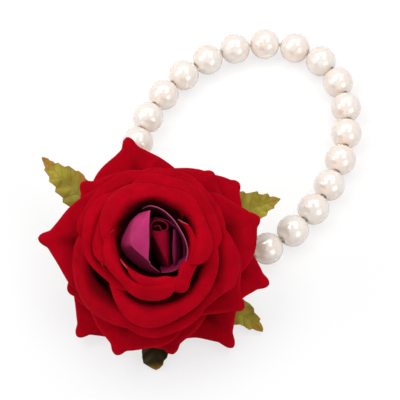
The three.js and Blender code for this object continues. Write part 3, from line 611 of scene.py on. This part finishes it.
# For each flower, in millimetres: how it stands, the wall's and the crest's radii, the radius that the lips
# roll over, the crest's height, how far it stands off the peg's axis, and how far from its margin down the
# light reaches freely. For each petal: the angle of its middle, how far it spreads to either side in
# degrees, the length of its pinched tip, how far it stands inside the others, and how far past the crest its
# edge lies from side to side.
flowers = [
    ("velvet_layer_1", spreading, 17.0, 19.0, 40.0, 3.3, (0, 0), 4.8, [
        (36, 41, 1.5, 0, (-0.5, 1.5, 3.3, 4.5, 2.7, 0.5, -1.5)),
        (105, 43, 3.6, 0, (-2.0, -0.4, 2.6, 4.5, 3.6, 2.3, 0)),
        (171, 38, 1.5, 0, (0, 0.8, 2.0, 2.7, 2.4, 1.2, 0)),
        (230, 41, 3.0, 0, (0.5, 2.2, 4.6, 7.2, 5.8, 3.6, 1.0)),
        (307, 43, 3.9, 0, (2.5, 4.0, 5.3, 8.3, 6.0, 3.2, 0.5))]),
    ("velvet_layer_2", spreading, 15.5, 18.5, 33.0, 7.0, (0, -1.0), 4.2, [
        (342, 39, 2.7, 0, (0.5, 3.8, 5.6, 7.4, 5.0, 2.5, 0)),
        (52, 44, 1.5, 0, (-1.5, 0, 1.5, 2.6, 1.8, 0.3, -1.5)),
        (139, 40, 2.1, 0, (-1.5, 0.6, 2.0, 2.6, 1.8, 0.6, -1.0)),
        (207, 38, 1.2, 0, (0.5, 2.2, 3.0, 3.3, 3.2, 2.2, 0.5)),
        (280, 40, 2.4, 0, (1.5, 3.6, 4.8, 4.9, 3.6, 2.0, 0))]),
    ("velvet_layer_3", spreading, 15.0, 19.0, 28.0, 10.8, (0, -2.0), 3.6, [
        (17, 38, 1.8, 0, (1.0, 3.4, 4.9, 5.2, 3.0, 0.5, -2.0)),
        (82, 44, 0, 0, (-1.8, -0.5, 0.2, 0.2, 0.1, -0.6, -2.4)),
        (174, 46, 3.3, 0, (0.5, 2.2, 3.8, 5.3, 3.4, 1.6, -1.0)),
        (250, 42, 2.4, 0, (-1.0, 1.0, 3.2, 4.8, 4.0, 3.0, 0)),
        (327, 38, 2.4, 0, (-3.0, -1.0, 1.2, 3.8, 2.3, 1.5, 0))]),
    ("velvet_layer_4", cupped, 14.2, 16.4, 5.0, 17.8, (-0.5, -3.0), 2.7, [
        (122, 52, 0, 0, (0.8, 2.2, 3.3, 2.7, 2.1, 2.0, 1.4)),
        (48, 60, 0, 0, (0.3, 1.3, 2.3, 2.7, 3.9, 2.4, 1.2)),
        (338, 50, 0.8, 0, (1.2, 1.5, 1.8, 3.6, 4.2, 2.2, 1.3)),
        (272, 56, 0, 0, (0.3, 1.2, 1.8, 3.0, 2.8, 1.8, 1.0)),
        (212, 62, 0, 2.2, (2.2, 3.7, 5.0, 6.3, 5.0, 3.7, 2.2))]),
    ("velvet_layer_5", cupped, 11.8, 14.0, 4.5, 21.3, (-0.8, -2.5), 2.5, [
        (172, 84, 0, 0, (0.6, 1.2, 2.6, 1.9, 1.3, 1.6, 1.4)),
        (52, 64, 0, 0, (0.5, 3.2, 3.8, 4.2, 3.8, 3.2, 1.0)),
        (338, 54, 0, 0, (1.0, 1.8, 2.6, 2.4, 1.8, 1.0, 0)),
        (268, 86, 0, 0, (0.5, 0.8, 2.4, 3.7, 3.0, 2.5, 1.5))]),
    ("velvet_layer_6", cupped, 8.7, 10.3, 3.8, 24.4, (0.4, -0.9), 4.2, [
        (172, 54, 0, -0.5, (2.5, 3.6, 3.8, 3.7, 2.8, 1.2, 0.0)),
        (124, 84, 0, 0, (0.9, 2.0, 4.0, 5.1, 3.7, 1.0, 0.2)),
        (30, 72, 0, 0, (0.5, 2.2, 2.6, 2.5, 3.2, 2.6, 1.0)),
        (230, 74, 0, 0.15, (0.7, 0.8, 1.6, 1.8, 3.4, 3.6, 2.8)),
        (304, 100, 0, 1.9, (0.8, 0.9, 2.4, 3.7, 2.7, 0.8, 2.2))]),
]
# Petals that lie otherwise than the rest, by flower and angle: how far the anticlockwise end lies on top of
# the next petal, a push outward (its place in degrees from the petal's middle, its width in degrees, and how
# far it goes), and how much lower the petal lies
lies_otherwise = {
    ("velvet_layer_5", 172): {"push": (62, 42, -4.2)},
    ("velvet_layer_5", 268): {"push": (-52, 30, -3.6)},
    ("velvet_layer_6", 172): {"lies_over": 0, "lower": 1.3},
    ("velvet_layer_6", 124): {"lies_over": -0.2},
    ("velvet_layer_6", 30): {"lies_over": -1},
    ("velvet_layer_6", 230): {"lies_over": -1},
    ("velvet_layer_6", 304): {"push": (-1, 9, 1.5)},
}
# A tip: the share of it that is a blunt nub, how wide the nub is, and how far the rest falls off to either
# side, with its point rounded off. Along it runs a ridge, so high and wide, that fades from the edge in.
nub_share, nub_width = 0.45, 1.25
tip_width, tip_rounding, full_tip = 1.9, 0.3, 2.0
ridge_height, ridge_width, ridge_fading = 0.45, 1.6, 5.0
# Near its end the tip swells to a knob, and behind that it is drawn in to a neck: how strongly, how far from
# the edge, and over what length. The pinch that makes both is so wide, and is worked out at a least radius.
knob, knob_at, knob_length = 0.25, 1.0, 0.9
neck, neck_at, neck_length = 0.3, 3.4, 1.4
pinch_width, pinch_radius = 2.6, 6.0
# A cup's petal falls off to both ends in quarter-round shoulders, over a share of its half width
shoulder_drop, shoulder_share = 6.5, 0.4
# How far one petal lies over the next, and the least and most of the edge's ripples and the cloth's waves
lap_height = 0.42
ripple_heights, wave_heights = (0.05, 0.15), (0.10, 0.26)
# How fast the ripples run across a petal, and how fast the waves run across and along it
ripples_across = (4.0, 7.0, 11.0)
waves_across_along = ((2.5, 1.5), (4.5, -2.0), (6.5, 3.0))
# How far round the margin rolls, in radians. A spreading petal's has a least roll and a further one over the
# middle share of its width, but is unrolled at the very point.
cup_roll, least_roll, further_roll, further_roll_share = 0.45, 0.7, 1.6, 0.55
point_unroll, point_unroll_width = 0.9, 0.7
# How much of a petal's tuck its wall takes, where between wall and crest the profile has one more stop, how
# far the profile goes on past the longest edge, and how far to either side its slope is measured
tucked_wall_share = 0.42
brim_out_share, brim_up_share = 0.45, 0.8
profile_overrun, slope_reach = 1.0, 0.15
# How narrow a petal is at its foot, and how its columns crowd to a tip and its rows to the edge
narrow_foot_share = 0.68
tip_crowding, edge_crowding = 1.35, 0.85
# Over what share of the way up each grows: the lap, the waves and pushes, the spread, and the stand aside
lap_grows, waves_grow, spread_grows, aside_grows = 1 / 3, 0.5, 0.625, 0.6
about_a_turn = 6.28


def through(stops, share):
    """Values of evenly spaced stops at shares of the way along, on a Catmull-Rom curve."""
    stops = np.asarray(stops, float)
    place = np.clip(share, 0, 1) * (len(stops) - 1)
    at = np.minimum(place.astype(int), len(stops) - 2)
    part = (place - at).reshape((-1,) + (1,) * (stops.ndim - 1))
    before, start = stops[np.maximum(at - 1, 0)], stops[at]
    end, later = stops[at + 1], stops[np.minimum(at + 2, len(stops) - 1)]
    return curve_between(part, start, (end - before) / 2, end, (later - start) / 2)


def waves(rng, heights, phases):
    """A sum of sines of the phases, each with a random height and a random shift."""
    return sum(rng.uniform(*heights) * np.sin(phase + rng.uniform(0, about_a_turn)) for phase in phases)


def petal_profile(stops, wall, brim, curl, crest, foot, past_crest):
    """The line up a petal and over its lip as (radius, height) points, the length up to each, and that up to
    the crest. It runs out and up through the wall's stops to the crest, and then rolls over on the lips'
    radius: (brim + curl sin a, crest - curl (1 - cos a))."""
    per_stop = 60
    outline = [(foot_radius + (wall - foot_radius) * out, foot + (crest - foot) * up) for out, up in stops]
    wall_out, wall_up = outline[-1]
    outline.append((wall_out + (brim - wall_out) * brim_out_share,
                    wall_up + (crest - wall_up) * brim_up_share))
    crest_stop = len(outline)
    for share in (0, 1 / 3, 2 / 3, 1):
        roll = past_crest * share / curl
        outline.append((brim + curl * np.sin(roll), crest - curl * (1 - np.cos(roll))))
    profile = through(outline, np.linspace(0, 1, per_stop * (len(outline) - 1) + 1))
    length = lengths_along(profile)
    return profile, length, length[per_stop * crest_stop]


def petal_grid(shape, petal, foot, seed, lies_over=1, push=(0, 1, 0), lower=0):
    """A velvet petal, and the painted shade of each of its points, from 0 to 1, which grows with its distance
    in from the lit margin. Each column goes round by its share of the spread, and up the profile and over to
    its own edge, where the margin rolls under in a tight arc. The edge is the traced lips plus the tip, which
    falls off by exponentials of the distance from the petal's middle. The cloth stands off the profile by its
    lap, waves and ridge."""
    stance, wall, brim, curl, crest, aside, lit = shape
    stops, tight, painted_shade_depth = stance
    at, spread, tip, tuck, lips = petal
    wall, brim = wall - tuck * tucked_wall_share, brim - tuck
    past_crest = max(lips) + tip + profile_overrun
    profile, length, to_crest = petal_profile(stops, wall, brim, curl, crest, foot, past_crest)
    rng = np.random.default_rng(seed)

    even = np.linspace(-1, 1, petal_columns)
    across = (np.sign(even) * np.abs(even) ** (tip_crowding if tip > 0 else 1.0))[None, :]
    along = down(petal_rows) ** edge_crowding
    # Millimetres to either side of the petal's middle, near its edge
    beside = across * np.radians(spread) * (brim + max(lips))

    point = tip * (nub_share * fade(beside, nub_width, 4)
                   + (1 - nub_share) * np.exp(-np.hypot(beside, tip_rounding) / tip_width))
    ripple = waves(rng, ripple_heights, [across * k for k in ripples_across])
    edge = to_crest + through(lips, (across[0] + 1) / 2)[None, :] + point + ripple
    if stance is spreading:
        round_by = (least_roll + further_roll * fade(across, further_roll_share, 4)
                    - point_unroll * fade(beside, point_unroll_width))
    else:
        past = np.clip((np.abs(across) - (1 - shoulder_share)) / shoulder_share, 0, 1)
        edge = edge - shoulder_drop * (1 - np.sqrt(1 - past ** 2))
        round_by = cup_roll + 0 * across

    start_roll = edge - tight * np.sin(np.minimum(round_by, np.pi / 2))
    whole = start_roll + tight * round_by
    travelled = whole * along
    inside = np.maximum(whole - travelled, 0)
    rolled = np.maximum(travelled - start_roll, 0) / tight
    reached = np.clip(np.minimum(travelled, start_roll) + tight * np.sin(rolled), 0, length[-1])

    def on_profile(travel):
        """The radius and the height at a length along the profile."""
        held = np.clip(travel, 0, length[-1])
        return np.stack([np.interp(held, length, profile[:, k]) for k in range(2)])

    radius, height = on_profile(reached)
    step = on_profile(reached + slope_reach) - on_profile(reached - slope_reach)
    ahead, rise = step / np.hypot(*step)

    off = lap_height * lies_over * across * ease(along, width=lap_grows) - tight * (1 - np.cos(rolled))
    cloth_waves = [across * k + along * j for k, j in waves_across_along]
    risen = ease(along, width=waves_grow)
    off = off + waves(rng, wave_heights, cloth_waves) * risen
    drawn = min(tip / full_tip, 1.0)
    off = off + drawn * ridge_height * fade(beside, ridge_width) * fade(inside, ridge_fading)

    push_at, push_width, push_out = push
    radius = radius + push_out * fade(across * spread - push_at, push_width) * risen
    radius = radius - rise * off
    height = height + ahead * off - lower * risen
    # The petal opens to its full spread on the way up, and stands aside with its flower
    opening = narrow_foot_share + (1 - narrow_foot_share) * ease(along, width=spread_grows)
    swell = knob * fade(inside - knob_at, knob_length) - neck * fade(inside - neck_at, neck_length)
    pinch = drawn * beside * fade(beside, pinch_width) * swell / np.maximum(radius, pinch_radius)
    angle = np.radians(at + across * spread * opening) + pinch
    shifted = ease(along, width=aside_grows)
    places = np.stack([radius * np.cos(angle) + aside[0] * shifted,
                       radius * np.sin(angle) + aside[1] * shifted, height + 0 * angle], -1)
    # The second value is the painted shade
    return places, ease(whole - travelled, lit, painted_shade_depth)


def joined(grids):
    """The points and the faces of several sheets as one mesh."""
    points = [grid.reshape(-1, 3) for grid in grids]
    starts = np.cumsum([0] + [len(part) for part in points])
    faces = [sheet_faces(*grid.shape[:2]) + start for grid, start in zip(grids, starts)]
    return np.concatenate(points), np.concatenate(faces)


# How far the colour turns to the painted shade's near-black red where the cloth lies deepest under the petals
# above
deepest_painted_shade = 0.92
for number, (name, *shape, petals) in enumerate(flowers):
    grids, velvet_painted_shade = [], []
    foot = foot_first + foot_step * number
    for place, petal in enumerate(petals):
        seed = 10 * number + place
        grid, painted_shade = petal_grid(shape, petal, foot, seed, **lies_otherwise.get((name, petal[0]), {}))
        grids.append(grid)
        velvet_painted_shade.append(painted_shade.ravel() * deepest_painted_shade)
    points, faces = joined(grids)
    velvet = add_mesh(name + "_petals", on_rose(points * mm), faces, velvet_paint)
    velvet.data.materials.append(velvet_edge)
    # The painted shade is kept in the attribute "foot", which the velvet's paint reads
    store(velvet, "foot", np.concatenate(velvet_painted_shade))
    thicken(velvet, velvet_thick)
    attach(velvet, "root")
    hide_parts(name)

# The bud's core
# A turned bud of red foam on the end of the peg, which the satin is wound round. The satin hides it, so it
# is a plain body with the foam's cells in its paint.
core_low, core_tall, core_radius, core_pole = 9.9, 8.6, 3.4, 0.01
core_rows, core_columns = 40, 64
core_fullness = 0.8
core_paint, core_shader, core_tree = paint("red_foam", {"Roughness": 0.95})
core_place = wire(core_tree, "ShaderNodeTexCoord")
core_cells = wire(core_tree, "ShaderNodeTexVoronoi",
                  {"Vector": core_place.outputs["Object"], "Scale": 1400.0})
core_tint = two_tones(core_tree, core_cells.outputs["Distance"],
                      (0.0, (0.05, 0.002, 0.010)), (1.0, (0.16, 0.006, 0.030)))
core_tree.links.new(core_tint, core_shader.inputs["Base Color"])
roughen(core_tree, core_shader, core_cells.outputs["Distance"], 0.4, 0.0003)

# From the bottom pole to the top one the radius runs as the sine of a half turn. The ring of faces that
# would join the two poles is left out.
core_share = np.linspace(0, 1, core_rows)
core_out = np.maximum(core_radius * np.sin(np.pi * core_share ** core_fullness), core_pole)
core_outline = np.stack([core_out, core_low + core_tall * core_share], -1) * mm
core = add_mesh("bud_foam", on_rose(turned_points(core_outline, core_columns)),
                ring_faces(core_rows, core_columns)[:-core_columns], core_paint)
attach(core, "root")
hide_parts("bud_core")

# The satin bud
# Petals of stiff satin wound round the foam: two large ones outside, one closing over the bud with a folded
# front and one open, a smaller one against it, a narrow one, and the rolled heart in the middle.
satin_thick = 0.00026
# Where the large petals' walls are centred, in millimetres
bud_middle = (0.7, -0.8)
weave_share = 0.2
darker_share, lighter_share = 0.8, 1.15


def satin_dyed_and_shaded(name, bright, painted_shade, glow):
    """A satin in the bright colour of its dye, turned towards a dark colour of painted shade by its attribute
    of painted shade, with a fine weave, a soft crumple and a broad gloss in the colour of the glow."""
    material, shader, tree = paint(name, {
        "Roughness": 0.45, "Specular IOR Level": 0.25, "Specular Tint": glow + (1,), "Sheen Weight": 0.06,
        "Sheen Roughness": 0.4, "Sheen Tint": glow + (1,)})
    darker = tuple(darker_share * part for part in bright)
    lighter = tuple(lighter_share * part for part in bright)
    mottled = two_tones(tree, clouds(tree, 260.0, detail=3.0), (0.3, darker), (0.7, lighter))
    tree.links.new(dyed_and_shaded(tree, "painted_shade", mottled, painted_shade), shader.inputs["Base Color"])
    weave, crumple = clouds(tree, 5200.0), clouds(tree, 420.0)
    relief = wire(tree, "ShaderNodeMath", {0: weave, 1: weave_share, 2: crumple}, operation="MULTIPLY_ADD")
    roughen(tree, shader, relief.outputs[0], 0.22, 0.0004)
    return material


# Each satin's second colour is painted shade, for the parts of the bud that lie in shade
magenta_satin = satin_dyed_and_shaded("magenta_satin", (0.48, 0.028, 0.140), (0.085, 0.0006, 0.020), (1.0, 0.35, 0.60))
plum_satin = satin_dyed_and_shaded("plum_satin", (0.22, 0.008, 0.050), (0.045, 0.0004, 0.010), (1.0, 0.20, 0.45))
wine_satin = satin_dyed_and_shaded("wine_satin", (0.22, 0.0008, 0.015), (0.075, 0.0003, 0.006), (1.0, 0.10, 0.20))
satin_edge = paint("satin_cut_edge", {"Base Color": (0.33, 0.030, 0.10, 1), "Roughness": 0.6})[0]


def lofted(net, rows, columns):
    """A smooth sheet through a net of stops: Catmull-Rom curves along its rows, then down between them."""
    net = np.array(net, float)
    curves = np.swapaxes(through(np.swapaxes(net, 0, 1), np.linspace(0, 1, columns)), 0, 1)
    return through(curves, np.linspace(0, 1, rows))


def wound(rim, foot, steps):
    """A net that hangs from a rim round the bud's middle: each row stands at a share of the rim's distance
    from the middle, and a share of the way down to the foot."""
    rim = np.array(rim, float)
    middle = np.array(bud_middle + (0.0,))
    return [np.concatenate([(middle + (rim - middle) * out)[:, :2],
                            rim[:, 2:] + (foot - rim[:, 2:]) * fall], 1) for out, fall in steps]


def satin_petal(name, node, sheets, material, edge):
    """Joins sheets into one satin petal of the cloth's thickness. Each is a grid and its painted shade, from 0
    to 1.
    """
    points, faces = joined([grid for grid, painted_shade in sheets])
    petal = add_mesh(name, on_rose(points * mm), faces, material)
    petal.data.materials.append(edge)
    dye_and_shade = [np.broadcast_to(painted_shade, grid.shape[:2]).ravel() for grid, painted_shade in sheets]
    store(petal, "painted_shade", np.concatenate(dye_and_shade))
    thicken(petal, satin_thick)
    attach(petal, "root")
    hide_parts(node)


# The closing petal: its lit face from the straight free edge to the crease, and the side below the crease.
# Each net's rows run along the petal from its back to its front, and follow each other down.
closing_face = [
    [(-0.3, 6.0, 25.2), (-0.5, 3.8, 26.0), (-0.5, 1.1, 26.4), (-0.5, -1.6, 26.3), (-0.6, -3.3, 25.9),
     (-0.7, -4.7, 25.5), (-0.7, -5.2, 25.2)],
    [(-1.0, 5.8, 25.1), (-1.5, 3.8, 26.1), (-1.8, 1.3, 26.4), (-1.9, -1.2, 26.3), (-1.7, -2.8, 25.9),
     (-1.2, -4.1, 25.5), (-0.8, -5.1, 25.2)],
    [(-1.8, 5.6, 24.7), (-2.7, 3.7, 25.5), (-3.4, 1.5, 25.9), (-3.5, -0.7, 25.9), (-2.9, -2.2, 25.7),
     (-1.9, -3.8, 25.4), (-0.9, -5.1, 25.2)],
    [(-2.4, 5.4, 24.0), (-3.7, 3.9, 24.7), (-4.5, 1.6, 25.2), (-4.6, -0.9, 25.4), (-4.3, -2.0, 25.3),
     (-2.7, -3.5, 25.2), (-1.0, -5.0, 25.2)],
]
# The side starts along the crease, where the face ends
closing_side = [
    closing_face[-1][:6] + [(-0.7, -5.2, 25.2), (-0.2, -6.2, 24.2), (0.8, -7.0, 22.8), (1.7, -7.7, 21.4)],
    [(-2.8, 5.5, 22.8), (-4.3, 3.9, 23.2), (-5.4, 1.7, 23.4), (-5.9, -0.6, 23.4), (-5.7, -2.4, 23.0),
     (-3.9, -4.3, 22.6), (-2.0, -5.7, 22.4), (-0.8, -6.6, 22.0), (0.5, -7.4, 21.3), (1.6, -7.8, 20.4)],
    [(-3.1, 5.5, 20.5), (-4.8, 4.0, 20.6), (-6.0, 1.8, 20.6), (-6.9, -0.3, 20.4), (-6.9, -2.3, 19.8),
     (-5.2, -4.4, 19.4), (-3.2, -6.1, 19.2), (-1.7, -7.0, 18.9), (-0.2, -7.7, 18.5), (1.3, -8.0, 18.2)],
    [(-3.1, 5.6, 15.5), (-4.5, 4.2, 15.5), (-5.6, 2.1, 15.5), (-6.3, 0.0, 15.5), (-6.2, -1.9, 15.5),
     (-5.0, -3.9, 15.5), (-3.4, -5.4, 15.2), (-1.9, -6.3, 15.0), (-0.4, -7.0, 14.8), (0.8, -7.3, 14.6)],
    [(-1.7, 4.1, 10.4), (-3.1, 3.4, 10.4), (-3.8, 2.0, 10.4), (-4.2, 0.4, 10.4), (-4.1, -1.3, 10.4),
     (-3.3, -2.7, 10.4), (-2.1, -3.9, 10.4), (-1.2, -4.6, 10.4), (-0.5, -5.0, 10.4), (0.2, -5.3, 10.4)],
]
# The side carries painted shade: dark where it turns to the front, and elsewhere darker below the crease.
# Each begins at a share of its width or height, grows over a share, and has a strength.
front_from, front_over, front_painted_shade = 0.36, 0.10, 0.85
crease_over, crease_painted_shade = 0.3, 0.35
side_sheet = lofted(closing_side, 60, 120)
side_front = ease(side_to_side(side_sheet.shape[1]), front_from, front_over)
side_below = ease(down(len(side_sheet)), width=crease_over)
side_painted_shade = front_painted_shade * side_front + crease_painted_shade * side_below * (1 - side_front)
satin_petal("bud_petal_closing", "satin_petal_left",
            [(lofted(closing_face, 50, 90), 0.0), (side_sheet, side_painted_shade)], magenta_satin, satin_edge)

# The open petal goes round the bud's middle. At the front its wall slopes in below the rim, so that it
# shows. Its back end is painted shade, and from a little way round from there it is painted light.
open_foot = 10.4
slope_from, slope_over, slope_below, slope_in = 0.66, 0.14, 0.16, 0.16
painted_light_from, painted_light_over, open_painted_light = 0.14, 0.2, 0.85
open_steps = [(1, 0), (0.97, 0.12), (0.95, 0.3), (0.9, 0.55), (0.78, 0.8), (0.62, 1)]
open_rim = [(-2.4, 6.7, 21.6), (-0.5, 7.2, 23.0), (1.8, 6.5, 24.2), (3.6, 5.2, 25.0), (5.2, 3.4, 25.6),
            (6.5, 1.3, 25.9), (7.5, -0.7, 25.9), (8.0, -2.9, 25.6), (7.6, -5.1, 24.8), (6.3, -6.7, 23.6),
            (4.2, -7.6, 22.4), (2.0, -7.7, 21.3)]
open_sheet = lofted(wound(open_rim, open_foot, open_steps), 60, 110)
open_around = side_to_side(open_sheet.shape[1])
open_front = ease(open_around, slope_from, slope_over)
open_slope = 1 - slope_in * open_front * ease(down(len(open_sheet)), width=slope_below)
open_sheet[..., :2] = (open_sheet[..., :2] - bud_middle) * open_slope[..., None] + bud_middle
open_painted_shade = 1 - open_painted_light * ease(open_around, painted_light_from, painted_light_over)
satin_petal("bud_petal_open", "satin_petal_right", [(open_sheet, open_painted_shade)], plum_satin, satin_edge)

# The inner petal lies against the open one, in its shadow, and that shade is painted into its colour
inner_foot, inner_painted_shade = 11.2, 0.75
inner_steps = [(1, 0), (0.96, 0.12), (0.92, 0.3), (0.86, 0.55), (0.74, 0.8), (0.6, 1)]
inner_rim = [(-0.7, 3.9, 23.0), (0.4, 4.3, 24.0), (1.8, 4.2, 24.6), (3.4, 3.7, 25.0), (4.7, 2.9, 25.2),
             (6.0, 1.7, 25.3), (7.0, -0.1, 25.2), (7.4, -2.2, 24.8), (7.2, -4.4, 24.0), (6.0, -6.0, 22.8)]
inner_sheet = lofted(wound(inner_rim, inner_foot, inner_steps), 50, 90)
satin_petal("bud_petal_inner", "satin_petal_far", [(inner_sheet, inner_painted_shade)], plum_satin, plum_satin)

# The narrow petal shows its rolled top, and carries painted shade: some on the top, and below a share of its
# height it turns dark over a further share
narrow_top_painted_shade, narrow_dark_from, narrow_dark_over = 0.35, 0.12, 0.25
narrow_net = [
    [(4.8, 1.8, 24.2), (4.7, -0.6, 24.8), (4.6, -2.8, 24.8), (4.7, -4.8, 24.2), (4.9, -6.3, 22.8)],
    [(5.2, 1.8, 24.3), (5.2, -0.6, 24.8), (5.2, -2.8, 24.8), (5.2, -4.8, 24.2), (5.3, -6.3, 22.8)],
    [(5.9, 1.6, 23.6), (6.0, -0.5, 23.8), (6.0, -2.8, 23.8), (5.8, -4.8, 23.2), (5.7, -6.2, 22.0)],
    [(6.5, 1.5, 21.0), (6.6, -0.6, 21.0), (6.6, -2.6, 21.0), (6.4, -4.5, 20.6), (5.9, -5.9, 20.0)],
    [(6.1, 1.7, 15.0), (6.4, -0.2, 15.0), (6.4, -2.3, 15.0), (6.1, -4.1, 15.0), (5.5, -5.5, 15.0)],
]
narrow_sheet = lofted(narrow_net, 50, 50)
narrow_below = ease(down(len(narrow_sheet)), narrow_dark_from, narrow_dark_over)
narrow_painted_shade = narrow_top_painted_shade + (1 - narrow_top_painted_shade) * narrow_below
satin_petal("bud_petal_narrow", "satin_petal_near", [(narrow_sheet, narrow_painted_shade)], plum_satin, plum_satin)

# The heart: a folded front, the cloth that runs on under its free edge, and the rolled top
heart_face = [
    [(-0.3, 1.7, 24.9), (0.6, -0.1, 25.0), (1.6, -2.0, 24.9), (2.5, -3.9, 24.3), (3.3, -5.6, 22.9),
     (3.4, -6.7, 21.4)],
    [(0.9, 1.4, 25.4), (1.5, -0.1, 25.4), (2.2, -2.0, 25.1), (2.9, -3.9, 24.4), (3.4, -5.6, 22.9),
     (3.5, -6.7, 21.4)],
    [(2.4, 1.3, 25.3), (2.7, -0.2, 25.1), (3.0, -1.9, 24.7), (3.4, -3.9, 24.0), (3.6, -5.6, 22.5),
     (3.6, -6.7, 21.1)],
    [(3.5, 1.6, 24.2), (3.6, -0.1, 24.0), (3.7, -1.9, 23.6), (3.8, -3.9, 23.0), (3.8, -5.6, 21.6),
     (3.7, -6.6, 20.4)],
    [(3.8, 1.8, 20.0), (3.9, -0.1, 20.0), (4.0, -1.9, 20.0), (4.0, -3.7, 19.6), (4.0, -5.2, 18.8),
     (3.8, -6.3, 18.2)],
]
heart_under = [
    [(-0.4, 1.7, 24.7), (0.5, -0.0, 24.8), (1.5, -1.9, 24.7), (2.4, -4.0, 24.0), (3.2, -5.7, 22.6),
     (3.3, -6.7, 21.2)],
    [(-0.8, 1.3, 20.5), (-0.2, -0.8, 20.5), (0.6, -2.7, 20.0), (1.6, -4.7, 19.4), (2.5, -6.3, 18.6),
     (2.9, -7.2, 18.0)],
    [(-1.7, 1.0, 15.0), (-1.1, -0.9, 15.0), (-0.4, -2.7, 15.0), (0.6, -4.6, 15.0), (1.5, -5.9, 15.0),
     (2.1, -6.6, 15.0)],
]
furl = [
    [(-0.3, 1.5, 24.9), (-0.2, 2.7, 25.1), (0.4, 3.6, 25.2), (1.5, 3.8, 25.3), (2.6, 3.5, 25.3),
     (3.5, 2.8, 25.2), (3.5, 1.8, 25.2), (2.7, 1.3, 25.3), (2.0, 1.7, 25.3), (1.8, 2.4, 25.2),
     (1.2, 2.6, 25.0), (0.4, 2.3, 24.8)],
    [(-0.2, 1.6, 23.4), (-0.1, 2.7, 23.6), (0.5, 3.5, 23.7), (1.5, 3.6, 23.8), (2.5, 3.4, 23.8),
     (3.3, 2.8, 23.7), (3.3, 2.0, 23.7), (2.7, 1.7, 23.8), (2.1, 1.9, 23.8), (2.0, 2.4, 23.7),
     (1.2, 2.6, 23.5), (0.5, 2.2, 23.3)],
    [(-0.1, 1.7, 20.0), (-0.0, 2.6, 20.0), (0.5, 3.2, 20.0), (1.4, 3.3, 20.0), (2.2, 3.1, 20.0),
     (2.8, 2.7, 20.0), (2.8, 2.2, 20.0), (2.5, 1.9, 20.0), (2.2, 2.1, 20.0), (2.0, 2.3, 20.0),
     (1.4, 2.5, 20.0), (0.7, 2.2, 20.0)],
]
under_sheet, furl_sheet = lofted(heart_under, 30, 50), lofted(furl, 30, 150)
# Painted shade: the cloth under the free edge darkens downwards, and the furl darkens down into its roll
under_top_painted_shade, furl_top_painted_shade, furl_dark_over = 0.8, 0.15, 0.5
under_painted_shade = under_top_painted_shade + (1 - under_top_painted_shade) * down(len(under_sheet))
furl_painted_shade = furl_top_painted_shade + (1 - furl_top_painted_shade) * ease(down(len(furl_sheet)), width=furl_dark_over)
satin_petal("bud_petal_heart", "satin_petal_heart",
            [(lofted(heart_face, 60, 60), 0.0), (under_sheet, under_painted_shade), (furl_sheet, furl_painted_shade)],
            wine_satin, wine_satin)
